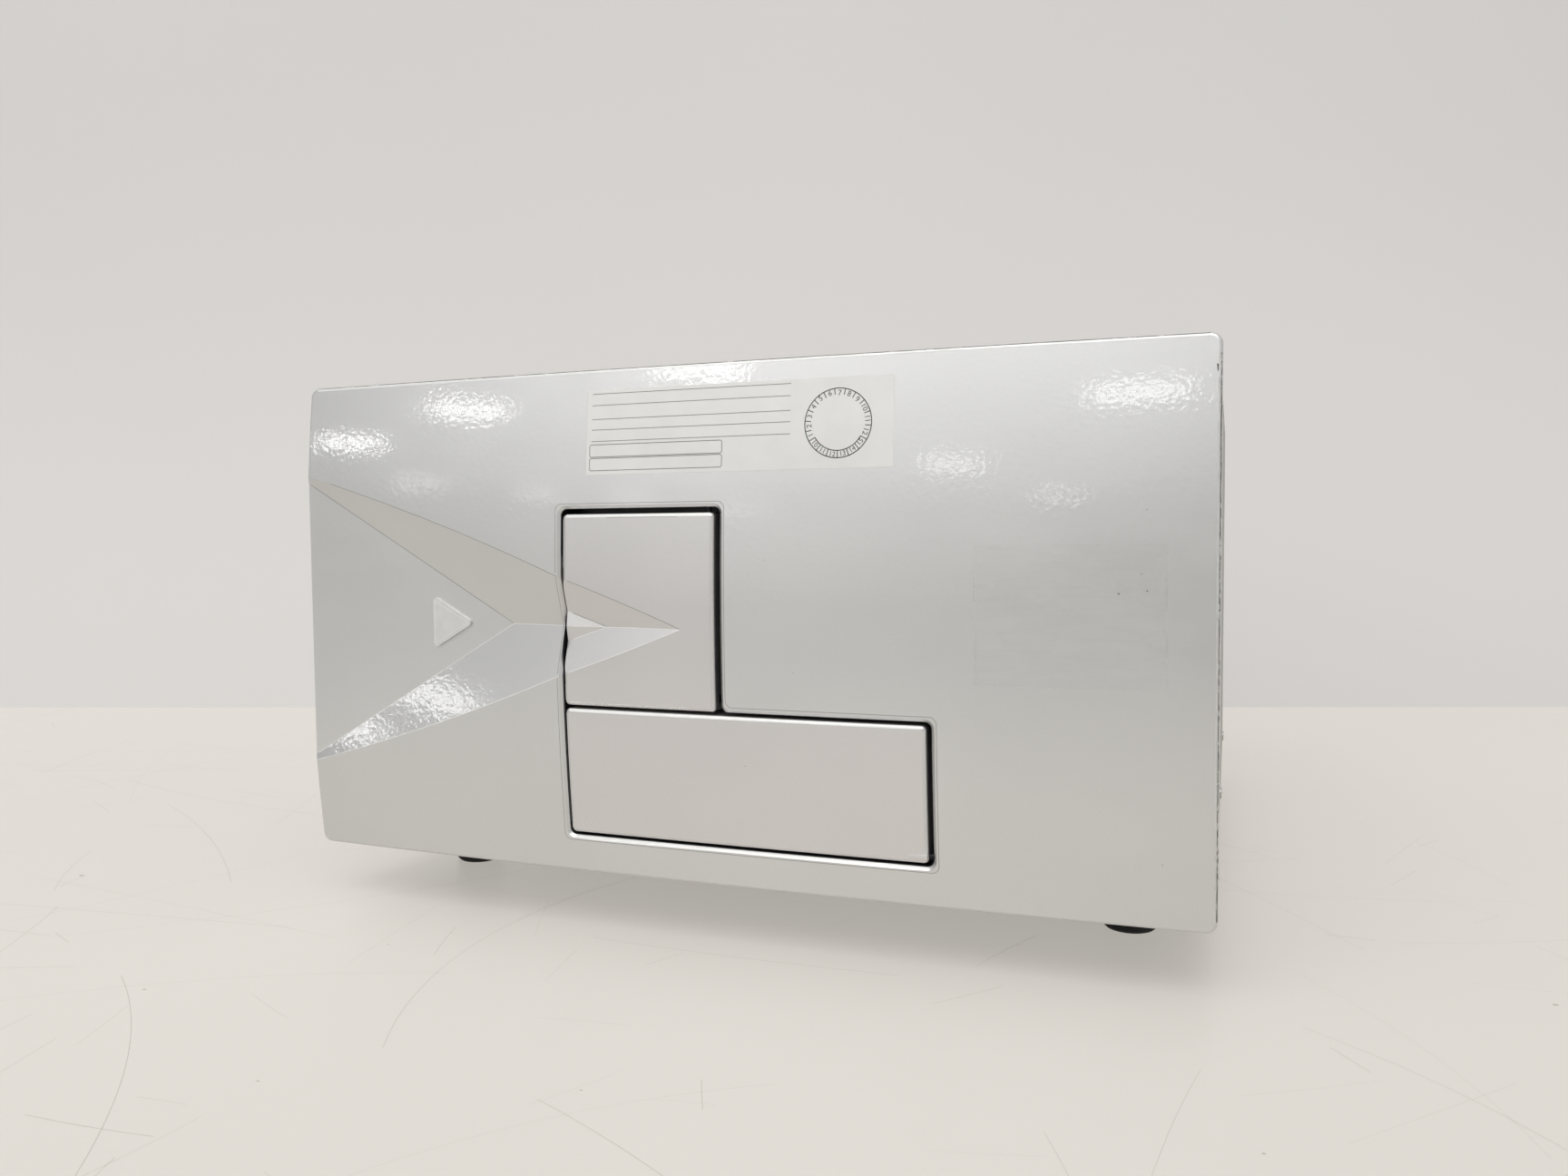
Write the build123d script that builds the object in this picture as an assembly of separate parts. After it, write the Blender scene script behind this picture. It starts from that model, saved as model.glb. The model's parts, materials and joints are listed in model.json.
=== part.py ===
"""Bench microplate reader: housing, doors, plate transport, filter slides, optics and power.

Frame: millimetres, X to the right, Y away from the front, Z up.  The origin is at the middle of
the floor under the reader.  Each function makes one sub-part, and the table at the end names them.
"""

from build123d import *
from math import atan, atan2, cos, degrees, pi, radians, sin
import os

# ---------------------------------------------------------------- overall
width = 425.0
depth = 457.0
height = 253.0
front_y = -depth / 2
back_y = depth / 2
fit = 0.4                   # running clearance of parts that slide
pin_fit = 0.1               # running clearance round a pin or shaft
plate_length = 127.76       # standard microplate
plate_width = 85.48

# ---------------------------------------------------------------- front panel
panel_bottom = 25.9
panel_height = height - panel_bottom
panel_middle = panel_bottom + panel_height / 2
panel_corner = 4.5
panel_edge = 1.5
panel_wall = 2.6
panel_flange = 13.0         # depth of the panel's side return
side_bulge = 4.68           # how far the middle stands out from the two sides
upright_bulge = 6.94        # how far the middle stands out from top and bottom
chord_y = front_y + side_bulge + upright_bulge
flange_back = chord_y + panel_flange
side_radius = ((width / 2) ** 2 + side_bulge ** 2) / (2 * side_bulge)
upright_radius = ((panel_height / 2) ** 2 + upright_bulge ** 2) / (2 * upright_bulge)

# Arrow-shaped recess: two slopes that meet in a valley and a floor on its left.
valley_z = 138.5
valley_rise = 0.293         # how much a slope comes forward per mm away from the valley
floor_side = 3.28           # floor, ahead of the chord plane at the panel's left side
valley_end_x = -97.1        # where valley and floor meet
valley_end = 0.0
valley_gap_x = -66.0        # where the valley crosses to the door
valley_gap = 4.45
valley_tip_x = -5.7         # where the valley runs out on the door
valley_tip = side_bulge + upright_bulge

# ---------------------------------------------------------------- doors
door_left = -64.3
door_wall = 2.4
door_rim = 1.5              # how far the door's rim reaches behind the chord plane
door_corner = 2.2
door_edge = 1.8
filter_door_width = 74.3
filter_door_height = 85.8
plate_door_width = plate_length + 38.44
plate_door_height = 57.4
plate_door_bottom = 44.4
doors_gap = 1.3
left_gap = 1.4
top_gap = 2.4
bottom_gap = 1.5
filter_side_gap = 2.6
plate_side_gap = 2.1
plate_door_top = plate_door_bottom + plate_door_height
plate_door_right = door_left + plate_door_width
filter_door_bottom = plate_door_top + doors_gap
filter_door_top = filter_door_bottom + filter_door_height
filter_door_right = door_left + filter_door_width
opening_left = door_left - left_gap
opening_right = plate_door_right + plate_side_gap
opening_bottom = plate_door_bottom - bottom_gap
opening_top = filter_door_top + top_gap
opening_step = filter_door_bottom + 0.2
opening_step_x = filter_door_right + filter_side_gap
opening_corner = 3.0
opening_bevel = 1.3
collar_wall = 2.5

# Finger nose at the filter door's left edge.
nose_ahead = 7.65
nose_tip_x = -42.0
nose_tip = 7.05
nose_fall = 0.151

# Hinge lines: distance behind the front and in from the door's edge.
hinge_pin = 1.2
plate_hinge_z = plate_door_bottom + 3.0
plate_hinge_ahead = 3.7
filter_hinge_x = filter_door_right - 3.66
filter_hinge_ahead = 6.6
hinge_lug = 3.0             # thickness of the lug that carries the filter door's lower pin
hinge_lug_z = filter_door_bottom + 5.2

# Raised arrow inlay on the recess floor.
inlay_x = -140.6
inlay_tip_x = -118.5
inlay_half = 12.8
inlay_corner = 1.6
inlay_height = 1.2

# ---------------------------------------------------------------- bezel and front plate
bezel_ahead = -3.2
bezel_wall = 2.5
bezel_margin = 8.0          # how far the bezel reaches past the opening
bezel_y = chord_y - bezel_ahead
plate_sheet = 2.0
front_plate_y = flange_back
inner_y = front_plate_y + plate_sheet
tray_width = plate_length + 12.24
cross_travel = 8.0
transport_x = (opening_left + opening_right) / 2 - 0.4
doorway_half = tray_width / 2 + cross_travel + 3.0
doorway_bottom = plate_hinge_z + 8.6
doorway_top = plate_door_top - 3.8
filter_window_left = door_left + 4.3
filter_window_right = filter_hinge_x - 4.3
filter_window_bottom = filter_door_bottom + 3.9
filter_window_top = filter_door_top - 2.9

# ---------------------------------------------------------------- housing
foot_height = 22.0
foot_radius = 12.4
foot_x = width / 2 - 38.0
foot_front_y = front_y + 90.5
foot_back_y = back_y - 60.0
pan_sheet = 2.0
pan_floor = foot_height + pan_sheet
pan_wall = 20.0
cover_sheet = 1.5
cover_side = width / 2 - 1.0
cover_top = height - 1.0
cover_corner = 6.0
cover_bottom = panel_bottom
seam = 1.5                  # open joint between the panel's flange and the cover
cover_front_y = flange_back + seam
pan_side = cover_side - cover_sheet - 0.5
rear_inset = 5.0
rear_y = back_y - rear_inset
rear_sheet = 1.5
rear_flange_y = rear_y - rear_sheet
rear_screw_x = width / 2 - 22.5
screw_radius = 3.2
screw_head = 0.9

# ---------------------------------------------------------------- plate transport
plate_play = 0.3
tray_floor_z = 77.0
tray_floor = 3.0
tray_rim = 8.0
tray_depth = plate_width + 16.52
tray_ledge = 5.0            # width of the ledge on which a plate rests
slide_travel = 200.0
rest_behind_hinge = 102.0   # tray front at rest, behind the plate door's hinge line
tray_front_y = chord_y - plate_hinge_ahead + rest_behind_hinge
tray_back_y = tray_front_y + tray_depth
tray_tongue_half = 45.0
bed_top = 34.0
bed_plate = 4.0
bed_half = tray_width / 2 + 9.0
guide_radius = 4.0
guide_z = 55.0
guide_half = tray_width / 2 - 15.0
guide_front_y = inner_y + 0.5
block_length = 8.0
block_width = 18.0
block_top = guide_z + 9.0
carriage_front_y = guide_front_y + block_length + 1.5 + slide_travel
carriage_length = 58.0
carriage_half = tray_width / 2 - 2.0
carriage_z = 62.0
carriage_plate = 4.0
carriage_back_y = carriage_front_y + carriage_length
guide_back_y = carriage_back_y + 25.9
bush_wall = 2.0
bush_length = 14.0
cross_radius = 3.0
cross_z = tray_floor_z - 5.0
cross_front_y = carriage_front_y + 12.0
cross_back_y = carriage_back_y - 12.0
cross_bush_half = 30.0
cross_bush_length = 16.0
pulley_radius = 7.0
pulley_teeth = 18
belt_play = 0.3
belt_thickness = 1.2
belt_width = 8.0
belt_x = transport_x - 20.0
belt_z = 52.0
drive_y = guide_back_y + 20.0
bed_back_y = drive_y + 20.0
idler_y = inner_y + 16.0
shaft_radius = 2.5
motor_size = 35.0
motor_length = 34.0
motor_plate = 3.0

# ---------------------------------------------------------------- filter slides and optics
slide_x = -28.0
slide_thickness = 8.0
slide_height = 28.0
slide_length = 160.0
slide_front_y = chord_y + 20.9
emission_z = filter_door_bottom + 29.0
excitation_z = emission_z + slide_height + 4.0
filter_radius = 10.0
filter_thickness = 4.0
filter_pitch = 27.0
filter_count = 4
first_filter = 22.0         # first filter's centre behind the slide's front
filter_travel = filter_pitch * (filter_count - 1)
optic_y = slide_front_y + first_filter + filter_travel
rack_module = 1.0
pinion_teeth = 12
pinion_radius = rack_module * pinion_teeth / 2
pinion_width = 5.0
pinion_y = optic_y + 37.0
tooth_out = 0.6 * rack_module
tooth_in = 1.0 * rack_module
tooth_tip = 0.85 * rack_module
tooth_root = 1.25 * rack_module
emission_pinion_z = emission_z - slide_height / 2 - tooth_out - pinion_radius
excitation_pinion_z = excitation_z + slide_height / 2 + tooth_out + pinion_radius
small_motor_radius = 8.0
small_motor_length = 18.0
bay_half = 16.0             # half the clear width inside the filter bay
bay_wall = 3.0
bay_shelf = 3.0
bay_floor = 1.6
deck_bottom = doorway_top + 1.0
deck_plate = 4.0
deck_top = deck_bottom + deck_plate
bay_bottom = deck_top
bay_top = excitation_pinion_z + pinion_radius + 6.0
bay_back_y = slide_front_y + slide_length + filter_travel + 6.0
bay_left = slide_x - bay_half - bay_wall
bay_right = slide_x + bay_half + bay_wall
chamber_wall = 4.0
chamber_half = tray_width / 2 + cross_travel + 4.0
chamber_back_y = guide_back_y - 2.0
optics_width = 78.0
optics_length = 84.0
optics_top = excitation_z + 26.0
objective_x = transport_x
objective_radius = 11.0
objective_bottom = tray_floor_z + tray_floor + 16.6
lens_radius = 8.0
lamp_length = 74.0
lamp_half = 17.0
detector_radius = 13.0
detector_length = 70.0
deck_left = bay_left - 92.0

# ---------------------------------------------------------------- power and electronics
fan_size = 80.0
fan_depth = 25.0
fan_x = -width / 2 + 92.5
fan_z = 150.0
inlet_x = width / 2 - 47.5
inlet_z = 64.0
switch_x = inlet_x - 47.0
rocker_y = rear_y - 1.0
rocker_pin = 1.2
usb_x = switch_x - 58.0
vent_x = switch_x + 2.0
supply_left = transport_x + chamber_half + chamber_wall + 15.0
supply_right = pan_side - 6.0
supply_length = 170.0
supply_height = 56.0
board_size = (110.0, 300.0, 1.6)
board_x = -width / 2 + 62.5
board_y = (inner_y + rear_flange_y) / 2
standoff = 10.0

BASE = (Align.CENTER, Align.CENTER, Align.MIN)


# ================================================================ helpers
def span(x, y, z):
    """Box that spans three ranges, each given as (low, high)."""
    size = [high - low for low, high in (x, y, z)]
    middle = [(high + low) / 2 for low, high in (x, y, z)]
    return Pos(*middle) * Box(*size)


def rod_x(radius, x, y, z):
    """Cylinder along X over the range x."""
    return Pos(x[0], y, z) * Rot(0, 90, 0) * Cylinder(radius, x[1] - x[0], align=BASE)


def rod_y(radius, x, y, z):
    """Cylinder along Y over the range y."""
    return Pos(x, y[0], z) * Rot(-90, 0, 0) * Cylinder(radius, y[1] - y[0], align=BASE)


def rod_z(radius, x, y, z):
    """Cylinder along Z over the range z."""
    return Pos(x, y, z[0]) * Cylinder(radius, z[1] - z[0], align=BASE)


def rectangle(x, z):
    """Sketch of a rectangle over two ranges."""
    return Pos(sum(x) / 2, sum(z) / 2) * Rectangle(x[1] - x[0], z[1] - z[0])


def prism(outline, y):
    """Extrudes an upright sketch (X, Z) over a range of depths."""
    return Pos(0, y[1], 0) * extrude(Plane.XZ * outline, amount=y[1] - y[0])


def ahead(distance):
    """Depth of a place that lies some distance ahead of the chord plane."""
    return chord_y - distance


# ================================================================ front panel and doors
def front_blank(inset=0.0):
    """Solid behind the doubly curved front face, moved inwards by the inset."""
    margin = 12.0
    back = flange_back + 3 * margin
    disc = Pos(front_y + upright_radius, panel_middle) * Circle(upright_radius - inset)
    band = Pos((front_y + back) / 2, panel_middle) * Rectangle(back - front_y, panel_height + margin)
    axis = Axis((0, front_y + side_radius, 0), (0, 0, 1))
    half = degrees(atan((width / 2 + margin) / side_radius))
    return revolve((Plane.YZ * (disc & band)).rotate(axis, -half), axis, 2 * half)


def slope(x_a, ahead_a, x_b, ahead_b, rise):
    """Plane through two places at valley height that comes forward by rise per mm of height."""
    along = Vector(x_b - x_a, ahead_a - ahead_b, 0)
    upward = Vector(0, -rise, 1)
    return Plane(origin=(x_a, ahead(ahead_a), valley_z), x_dir=along, z_dir=along.cross(upward))


def wedge(x, planes, keep):
    """Block round the valley, cut by each of the planes."""
    half = width / 2
    block = span(x, (front_y - 5, flange_back + 20), (valley_z - half, valley_z + half))
    for plane in planes:
        block = split(block, bisect_by=plane, keep=keep)
    return block


def panel_recess():
    """What the arrow recess takes out of the front panel."""
    side_x = -width / 2
    slopes = [slope(valley_end_x, valley_end, valley_gap_x, valley_gap, rise)
              for rise in (valley_rise, -valley_rise)]
    floor = slope(side_x, floor_side, valley_end_x, valley_end, 0)
    return wedge((side_x - 5, opening_left + 5), slopes + [floor], Keep.TOP)


def door_recess():
    """What the recess takes out of the filter door, with the finger nose left standing."""
    slopes = [slope(valley_gap_x, valley_gap, valley_tip_x, valley_tip, rise)
              for rise in (valley_rise, -valley_rise)]
    facets = [slope(door_left, nose_ahead, nose_tip_x, nose_tip, rise)
              for rise in (nose_fall, -nose_fall)]
    reach = (door_left - 5, valley_tip_x + 5)
    return wedge(reach, slopes, Keep.TOP) - wedge(reach, facets, Keep.BOTTOM)


def opening_outline(grow=0.0):
    """Stepped outline of the opening that both doors share."""
    low, high = opening_bottom - grow, opening_top + grow
    left, step = opening_left - grow, opening_step + grow
    outline = rectangle((left, opening_right + grow), (low, step))
    outline += rectangle((left, opening_step_x + grow), (low, high))
    return fillet(outline.vertices(), opening_corner)


def front_panel():
    """Moulded front shell with its recess, door opening, hinge holes and rear bosses."""
    outline = Pos(0, panel_middle) * RectangleRounded(width, panel_height, panel_corner)
    body = prism(outline, (front_y, flange_back)) & front_blank()
    rim = body.edges().filter_by(lambda edge: edge.center().Y < chord_y + 0.5)
    body = fillet(rim, panel_edge) - panel_recess()
    inner_size = (width - 2 * panel_wall, panel_height - 2 * panel_wall)
    hollow = Pos(0, panel_middle) * RectangleRounded(*inner_size, panel_corner - panel_wall + 1)
    cavity = prism(hollow, (front_y, flange_back + 1)) & front_blank(panel_wall)
    cavity -= Pos(0, panel_wall, 0) * panel_recess()
    cavity -= prism(opening_outline(collar_wall), (front_y, bezel_y))
    cavity -= Sketch() + panel_bosses()
    panel = body - cavity - prism(opening_outline(), (front_y - 1, flange_back))
    mouth = panel.edges().filter_by(on_opening_mouth)
    panel = chamfer(mouth, opening_bevel)
    for side in (opening_left, opening_right):
        reach = (side - collar_wall, side + collar_wall)
        hole = hinge_pin + pin_fit
        panel -= rod_x(hole, reach, ahead(plate_hinge_ahead), plate_hinge_z)
    top_hole = (opening_top - 1, opening_top + collar_wall - 0.6)
    return panel - rod_z(hinge_pin + pin_fit, filter_hinge_x, ahead(filter_hinge_ahead), top_hole)


def on_opening_mouth(edge):
    """True for an edge where the door opening meets the front face."""
    spot = edge.center()
    beside = opening_left - 0.1 < spot.X < opening_right + 0.1
    level = opening_bottom - 0.1 < spot.Z < opening_top + 0.1
    return beside and level and spot.Y < chord_y - 1


def boss_places():
    """Where the panel's screw bosses stand."""
    x = width / 2 - 22
    return [(side * x, z) for side in (-1, 1) for z in (panel_bottom + 14, height - 16)] + [
        (0, height - 16), (0, panel_bottom + 8)]


def panel_bosses():
    """Round bosses from the panel's wall back to the front plate."""
    return [rod_y(4.0, x, (front_y, flange_back), z) for x, z in boss_places()]


def arrow_inlay():
    """Raised triangle on the recess floor that points along the arrow."""
    tip = (inlay_tip_x, valley_z)
    outline = make_face(Polyline((inlay_x, valley_z + inlay_half), tip,
                                 (inlay_x, valley_z - inlay_half), close=True))
    outline = fillet(outline.vertices(), inlay_corner)
    floor = slope(-width / 2, floor_side, valley_end_x, valley_end, 0)
    raised = Plane(origin=floor.origin + floor.z_dir * inlay_height, x_dir=floor.x_dir, z_dir=floor.z_dir)
    block = prism(outline, (front_y, flange_back))
    return split(split(block, bisect_by=floor, keep=Keep.TOP), bisect_by=raised, keep=Keep.BOTTOM)


def door_shell(x, z, recess=None):
    """Hollow door with a curved face, rounded edges and a rim behind it."""
    outline = Pos(sum(x) / 2, sum(z) / 2) * RectangleRounded(x[1] - x[0], z[1] - z[0], door_corner)
    back = ahead(-door_rim)
    body = prism(outline, (front_y, back)) & front_blank()
    rim = body.edges().filter_by(lambda edge: edge.center().Y < chord_y - 3)
    body = fillet(rim, door_edge)
    inside = rectangle((x[0] + door_wall, x[1] - door_wall), (z[0] + door_wall, z[1] - door_wall))
    cavity = prism(inside, (front_y, back + 1)) & front_blank(door_wall)
    if recess:
        body -= recess
        cavity -= Pos(0, door_wall, 0) * recess
    return body - cavity


def plate_door():
    """Drop-down flap in front of the plate tray."""
    x = (door_left, plate_door_right)
    door = door_shell(x, (plate_door_bottom, plate_door_top))
    y, z = ahead(plate_hinge_ahead), plate_hinge_z
    for side in x:
        inward = 1 if side < 0 else -1
        boss = sorted((side + inward * 0.5, side + inward * 8.0))
        door += rod_x(hinge_pin + 1.4, boss, y, z)
    for step in (0.25, 0.5, 0.75):
        rib_x = x[0] + step * plate_door_width
        rib = span((rib_x - 0.7, rib_x + 0.7), (ahead(4), ahead(0)), (plate_door_bottom + 1, plate_door_top - 1))
        door += rib & front_blank(1)
    return door - plate_door_pins(0)


def plate_door_pins(shorten=0.0):
    """Two steel pins on which the flap turns."""
    y, z = ahead(plate_hinge_ahead), plate_hinge_z
    left = (opening_left - collar_wall + 0.5, door_left + 7.0 - shorten)
    right = (plate_door_right - 7.0 + shorten, opening_right + collar_wall - 0.5)
    return Part() + [rod_x(hinge_pin, reach, y, z) for reach in (left, right)]


def lug_band():
    """Height range of the fixed lug that carries the filter door's lower pin."""
    return hinge_lug_z - hinge_lug / 2, hinge_lug_z + hinge_lug / 2


def filter_door():
    """Side-hinged door with the finger nose, in front of the filter slides."""
    x = (door_left, filter_door_right)
    z = (filter_door_bottom, filter_door_top)
    door = door_shell(x, z, door_recess())
    low, high = lug_band()
    back = ahead(-door_rim)
    shelf_x = (filter_hinge_x - 4.5, filter_door_right - 0.6)
    shelf = span(shelf_x, (front_y, back), (high + fit, high + fit + 2.4))
    top_block = span(shelf_x, (front_y, back), (filter_door_top - 5.0, filter_door_top - 0.6))
    low_block = span(shelf_x, (front_y, back), (filter_door_bottom + 0.6, low - fit))
    door += (shelf + top_block + low_block) & front_blank(1)
    door -= span((filter_hinge_x - 0.2, filter_door_right + 1), (ahead(6.2), back + 1), (low - fit, high + fit))
    door -= rod_z(hinge_pin + 1.5, filter_hinge_x, ahead(filter_hinge_ahead), (low - fit, high + fit))
    return door - filter_door_pins()


def filter_door_pins():
    """Upper and lower steel pins of the filter door."""
    y = ahead(filter_hinge_ahead)
    upper = (filter_door_top - 4.0, opening_top + collar_wall - 1.0)
    lower = (filter_door_bottom + 1.4, lug_band()[1] + fit + 2.0)
    return Part() + [rod_z(hinge_pin, filter_hinge_x, y, reach) for reach in (upper, lower)]


def doorway_outline(grow=0.0):
    """Window through which the plate tray comes out."""
    x = (transport_x - doorway_half - grow, transport_x + doorway_half + grow)
    return rectangle(x, (doorway_bottom - grow, doorway_top + grow))


def filter_outline(grow=0.0):
    """Window through which the filter slides are reached."""
    x = (filter_window_left - grow, filter_window_right + grow)
    return rectangle(x, (filter_window_bottom - grow, filter_window_top + grow))


def door_bezel():
    """Black inner frame behind the doors, with light-trap collars and the door's hinge lug."""
    outside = opening_outline(bezel_margin)
    face = prism(outside, (bezel_y, bezel_y + bezel_wall))
    skirt = prism(outside - offset(outside, -bezel_wall), (bezel_y, front_plate_y))
    collars = [prism(outline(bezel_wall) - outline(), (bezel_y, front_plate_y))
               for outline in (doorway_outline, filter_outline)]
    bezel = face + skirt + collars
    for outline in (doorway_outline, filter_outline):
        bezel -= prism(outline(), (bezel_y - 1, front_plate_y + 1))
    eye_y = ahead(filter_hinge_ahead)
    eye = rod_z(hinge_pin + 1.0, filter_hinge_x, eye_y, lug_band())
    neck = span((filter_hinge_x - 2.8, filter_hinge_x - 0.4), (eye_y - 1.2, bezel_y + 1), lug_band())
    hole = rod_z(hinge_pin + pin_fit, filter_hinge_x, eye_y, (hinge_lug_z - hinge_lug, hinge_lug_z + hinge_lug))
    return bezel + eye + neck - hole


def sheet_outline(clear):
    """Outline of an upright sheet that stands inside the cover, clear of it by some distance."""
    half = pan_side - clear
    outline = rectangle((-half, half), (pan_floor, cover_top - cover_sheet - clear))
    return fillet(outline.vertices().group_by(Axis.Y)[-1], cover_corner)


def front_plate():
    """Sheet-steel plate that carries the bezel and the front panel."""
    sheet = prism(sheet_outline(1.0), (front_plate_y, inner_y))
    for outline in (doorway_outline, filter_outline):
        sheet -= prism(outline(), (front_plate_y - 1, inner_y + 1))
    for x, z in boss_places():
        sheet -= rod_y(1.6, x, (front_plate_y - 1, inner_y + 1), z)
    return sheet


# ================================================================ housing
def base_pan():
    """Folded steel floor pan with side, front and rear flanges."""
    top = foot_height + pan_wall
    pan = span((-pan_side, pan_side), (inner_y, rear_flange_y), (foot_height, top))
    inside = pan_side - pan_sheet
    pan -= span((-inside, inside), (inner_y - 1, rear_flange_y - pan_sheet), (pan_floor, top + 1))
    pan += span((-inside, inside), (front_plate_y, inner_y), (foot_height, pan_floor))
    for row in range(6):
        for side in (-1, 1):
            slot = Pos(side * (width / 2 - 62.5), -60 + 22 * row, foot_height) * Box(70, 6, 3 * pan_sheet)
            pan -= slot
    return pan


def top_cover():
    """Bent sheet cover: top and both sides in one piece."""
    outside = rectangle((-cover_side, cover_side), (cover_bottom, cover_top))
    outside = fillet(outside.vertices().group_by(Axis.Y)[-1], cover_corner)
    inner_x = cover_side - cover_sheet
    inside = rectangle((-inner_x, inner_x), (cover_bottom - 1, cover_top - cover_sheet))
    inside = fillet(inside.vertices().group_by(Axis.Y)[-1], cover_corner - cover_sheet)
    cover = prism(outside - inside, (cover_front_y, back_y))
    for place in cover_screw_places():
        cover -= cover_screw_hole(*place)
    return cover


def cover_screw_places():
    """Side, depth and height of each screw in the cover's sides."""
    depths = (cover_front_y + 40, 0.0, back_y - 40)
    return [(side, y, cover_bottom + 8.0) for side in (-1, 1) for y in depths]


def cover_screw_hole(side, y, z):
    """Hole for one side screw."""
    reach = sorted((side * (pan_side - 4), side * (cover_side + 1)))
    return rod_x(1.6, reach, y, z)


def cover_screws():
    """Pan-head screws that hold the cover to the pan, and the rear panel to its flange."""
    screws = []
    for side, y, z in cover_screw_places():
        head = Pos(side * cover_side, y, z) * Rot(0, 90 * side, 0) * screw()
        screws.append(head)
    for x in (-rear_screw_x, 0, rear_screw_x):
        screws.append(Pos(x, rear_y, foot_height + 14) * Rot(-90, 0, 0) * screw())
    return Part() + screws


def screw():
    """Domed screw head with a short shank and a cross recess."""
    head = Cylinder(screw_radius, screw_head, align=BASE)
    head = fillet(head.edges().group_by(Axis.Z)[-1], screw_head * 0.6)
    head -= Pos(0, 0, screw_head) * (Box(3.2, 0.8, 1.0) + Box(0.8, 3.2, 1.0))
    return head


def feet():
    """Four turned rubber feet under the pan."""
    profile = Polyline((0, 0), (foot_radius - 1.5, 0), (foot_radius, 1.5),
                       (foot_radius - 1.2, foot_height), (0, foot_height), close=True)
    foot = revolve(Plane.XZ * make_face(profile), Axis.Z)
    places = [(side * foot_x, y) for side in (-1, 1) for y in (foot_front_y, foot_back_y)]
    return Part() + [Pos(x, y, 0) * foot for x, y in places]


def rear_panel():
    """Steel rear panel with its cut-outs and cooling slots."""
    panel = prism(sheet_outline(0.3), (rear_flange_y, rear_y))
    panel -= rod_y(fan_size / 2 - 2, fan_x, (rear_flange_y - 1, rear_y + 1), fan_z)
    through = (rear_flange_y - 1, rear_y + 1)
    panel -= span((inlet_x - 14, inlet_x + 14), through, (inlet_z - 10, inlet_z + 10))
    panel -= span((switch_x - 10, switch_x + 10), through, (inlet_z - 6.5, inlet_z + 6.5))
    panel -= span((usb_x - 6.2, usb_x + 6.2), through, (inlet_z - 5.6, inlet_z + 5.6))
    for row in range(9):
        slot = Pos(vent_x, 120 + 11 * row) * SlotOverall(110, 5)
        panel -= prism(slot, through)
    return panel


# ================================================================ plate transport
def transport_bed():
    """Plate that carries guides, motor and idler above the pan."""
    bed = span((transport_x - bed_half, transport_x + bed_half), (inner_y + fit, bed_back_y),
               (bed_top - bed_plate, bed_top))
    bay = (bed_back_y - inner_y) / 4
    for row in range(3):
        middle = inner_y + (row + 1) * bay
        bed -= span((transport_x, transport_x + bed_half / 2), (middle - 28, middle + 28), (0, bed_top + 1))
    return bed


def bed_posts():
    """Round posts between the pan and the bed."""
    x = bed_half - 8
    post_y = (inner_y + 20, (inner_y + bed_back_y) / 2, bed_back_y - 12)
    places = [(transport_x + side * x, y) for side in (-1, 1) for y in post_y]
    return Part() + [rod_z(5.0, px, py, (pan_floor, bed_top - bed_plate)) for px, py in places]


def guide_x():
    """The two guide rods' places across the reader."""
    return transport_x - guide_half, transport_x + guide_half


def guide_rods():
    """Two ground rods along which the carriage runs."""
    return Part() + [rod_y(guide_radius, x, (guide_front_y, guide_back_y), guide_z) for x in guide_x()]


def guide_blocks():
    """Clamp blocks at the four ends of the guide rods."""
    ends = [(guide_front_y, guide_front_y + block_length), (guide_back_y - block_length, guide_back_y)]
    blocks = []
    for x in guide_x():
        for reach in ends:
            block = span((x - block_width / 2, x + block_width / 2), reach, (bed_top, block_top))
            blocks.append(block - rod_y(guide_radius + pin_fit, x, reach, guide_z))
    return Part() + blocks


def carriage():
    """Machined carriage: a plate with two bearing housings and ears for the cross rods."""
    x = (transport_x - carriage_half, transport_x + carriage_half)
    y = (carriage_front_y, carriage_back_y)
    body = span(x, y, (carriage_z, carriage_z + carriage_plate))
    body -= span((transport_x + 5, transport_x + guide_half - 20), (y[0] + 14, y[1] - 14), (0, 200))
    bore = guide_radius + bush_wall
    for gx in guide_x():
        body += span((gx - 9, gx + 9), y, (guide_z - 9, carriage_z + 1))
        body -= rod_y(bore, gx, y, guide_z)
    for side in (-1, 1):
        for cy in (cross_front_y, cross_back_y):
            outer = transport_x + side * carriage_half
            ear = sorted((outer, outer - side * 6))
            body += span(ear, (cy - 5.5, cy + 5.5), (carriage_z + 1, cross_z + cross_radius + 1.2))
            body -= rod_x(cross_radius, ear, cy, cross_z)
    return body


def carriage_bushings():
    """Four plain bushes pressed into the carriage."""
    bushes = []
    for x in guide_x():
        for start in (carriage_front_y, carriage_back_y - bush_length):
            reach = (start, start + bush_length)
            sleeve = rod_y(guide_radius + bush_wall, x, reach, guide_z)
            bushes.append(sleeve - rod_y(guide_radius + pin_fit, x, reach, guide_z))
    return Part() + bushes


def belt_clamp():
    """Clamp under the carriage that grips the upper run of the belt."""
    run = belt_z + pulley_radius + belt_play
    y = (carriage_back_y - 16, carriage_back_y - 2)
    side = belt_width / 2 + 4
    clamp = span((belt_x - side, belt_x + side), y, (run - 3.6, carriage_z))
    gap = belt_width / 2 + 0.5
    return clamp - span((belt_x - gap, belt_x + gap), y, (run - 0.4, run + belt_thickness + 0.4))


def cross_rods():
    """Two rods across the carriage that carry the tray."""
    reach = (transport_x - carriage_half, transport_x + carriage_half)
    return Part() + [rod_x(cross_radius, reach, y, cross_z) for y in (cross_front_y, cross_back_y)]


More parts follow.
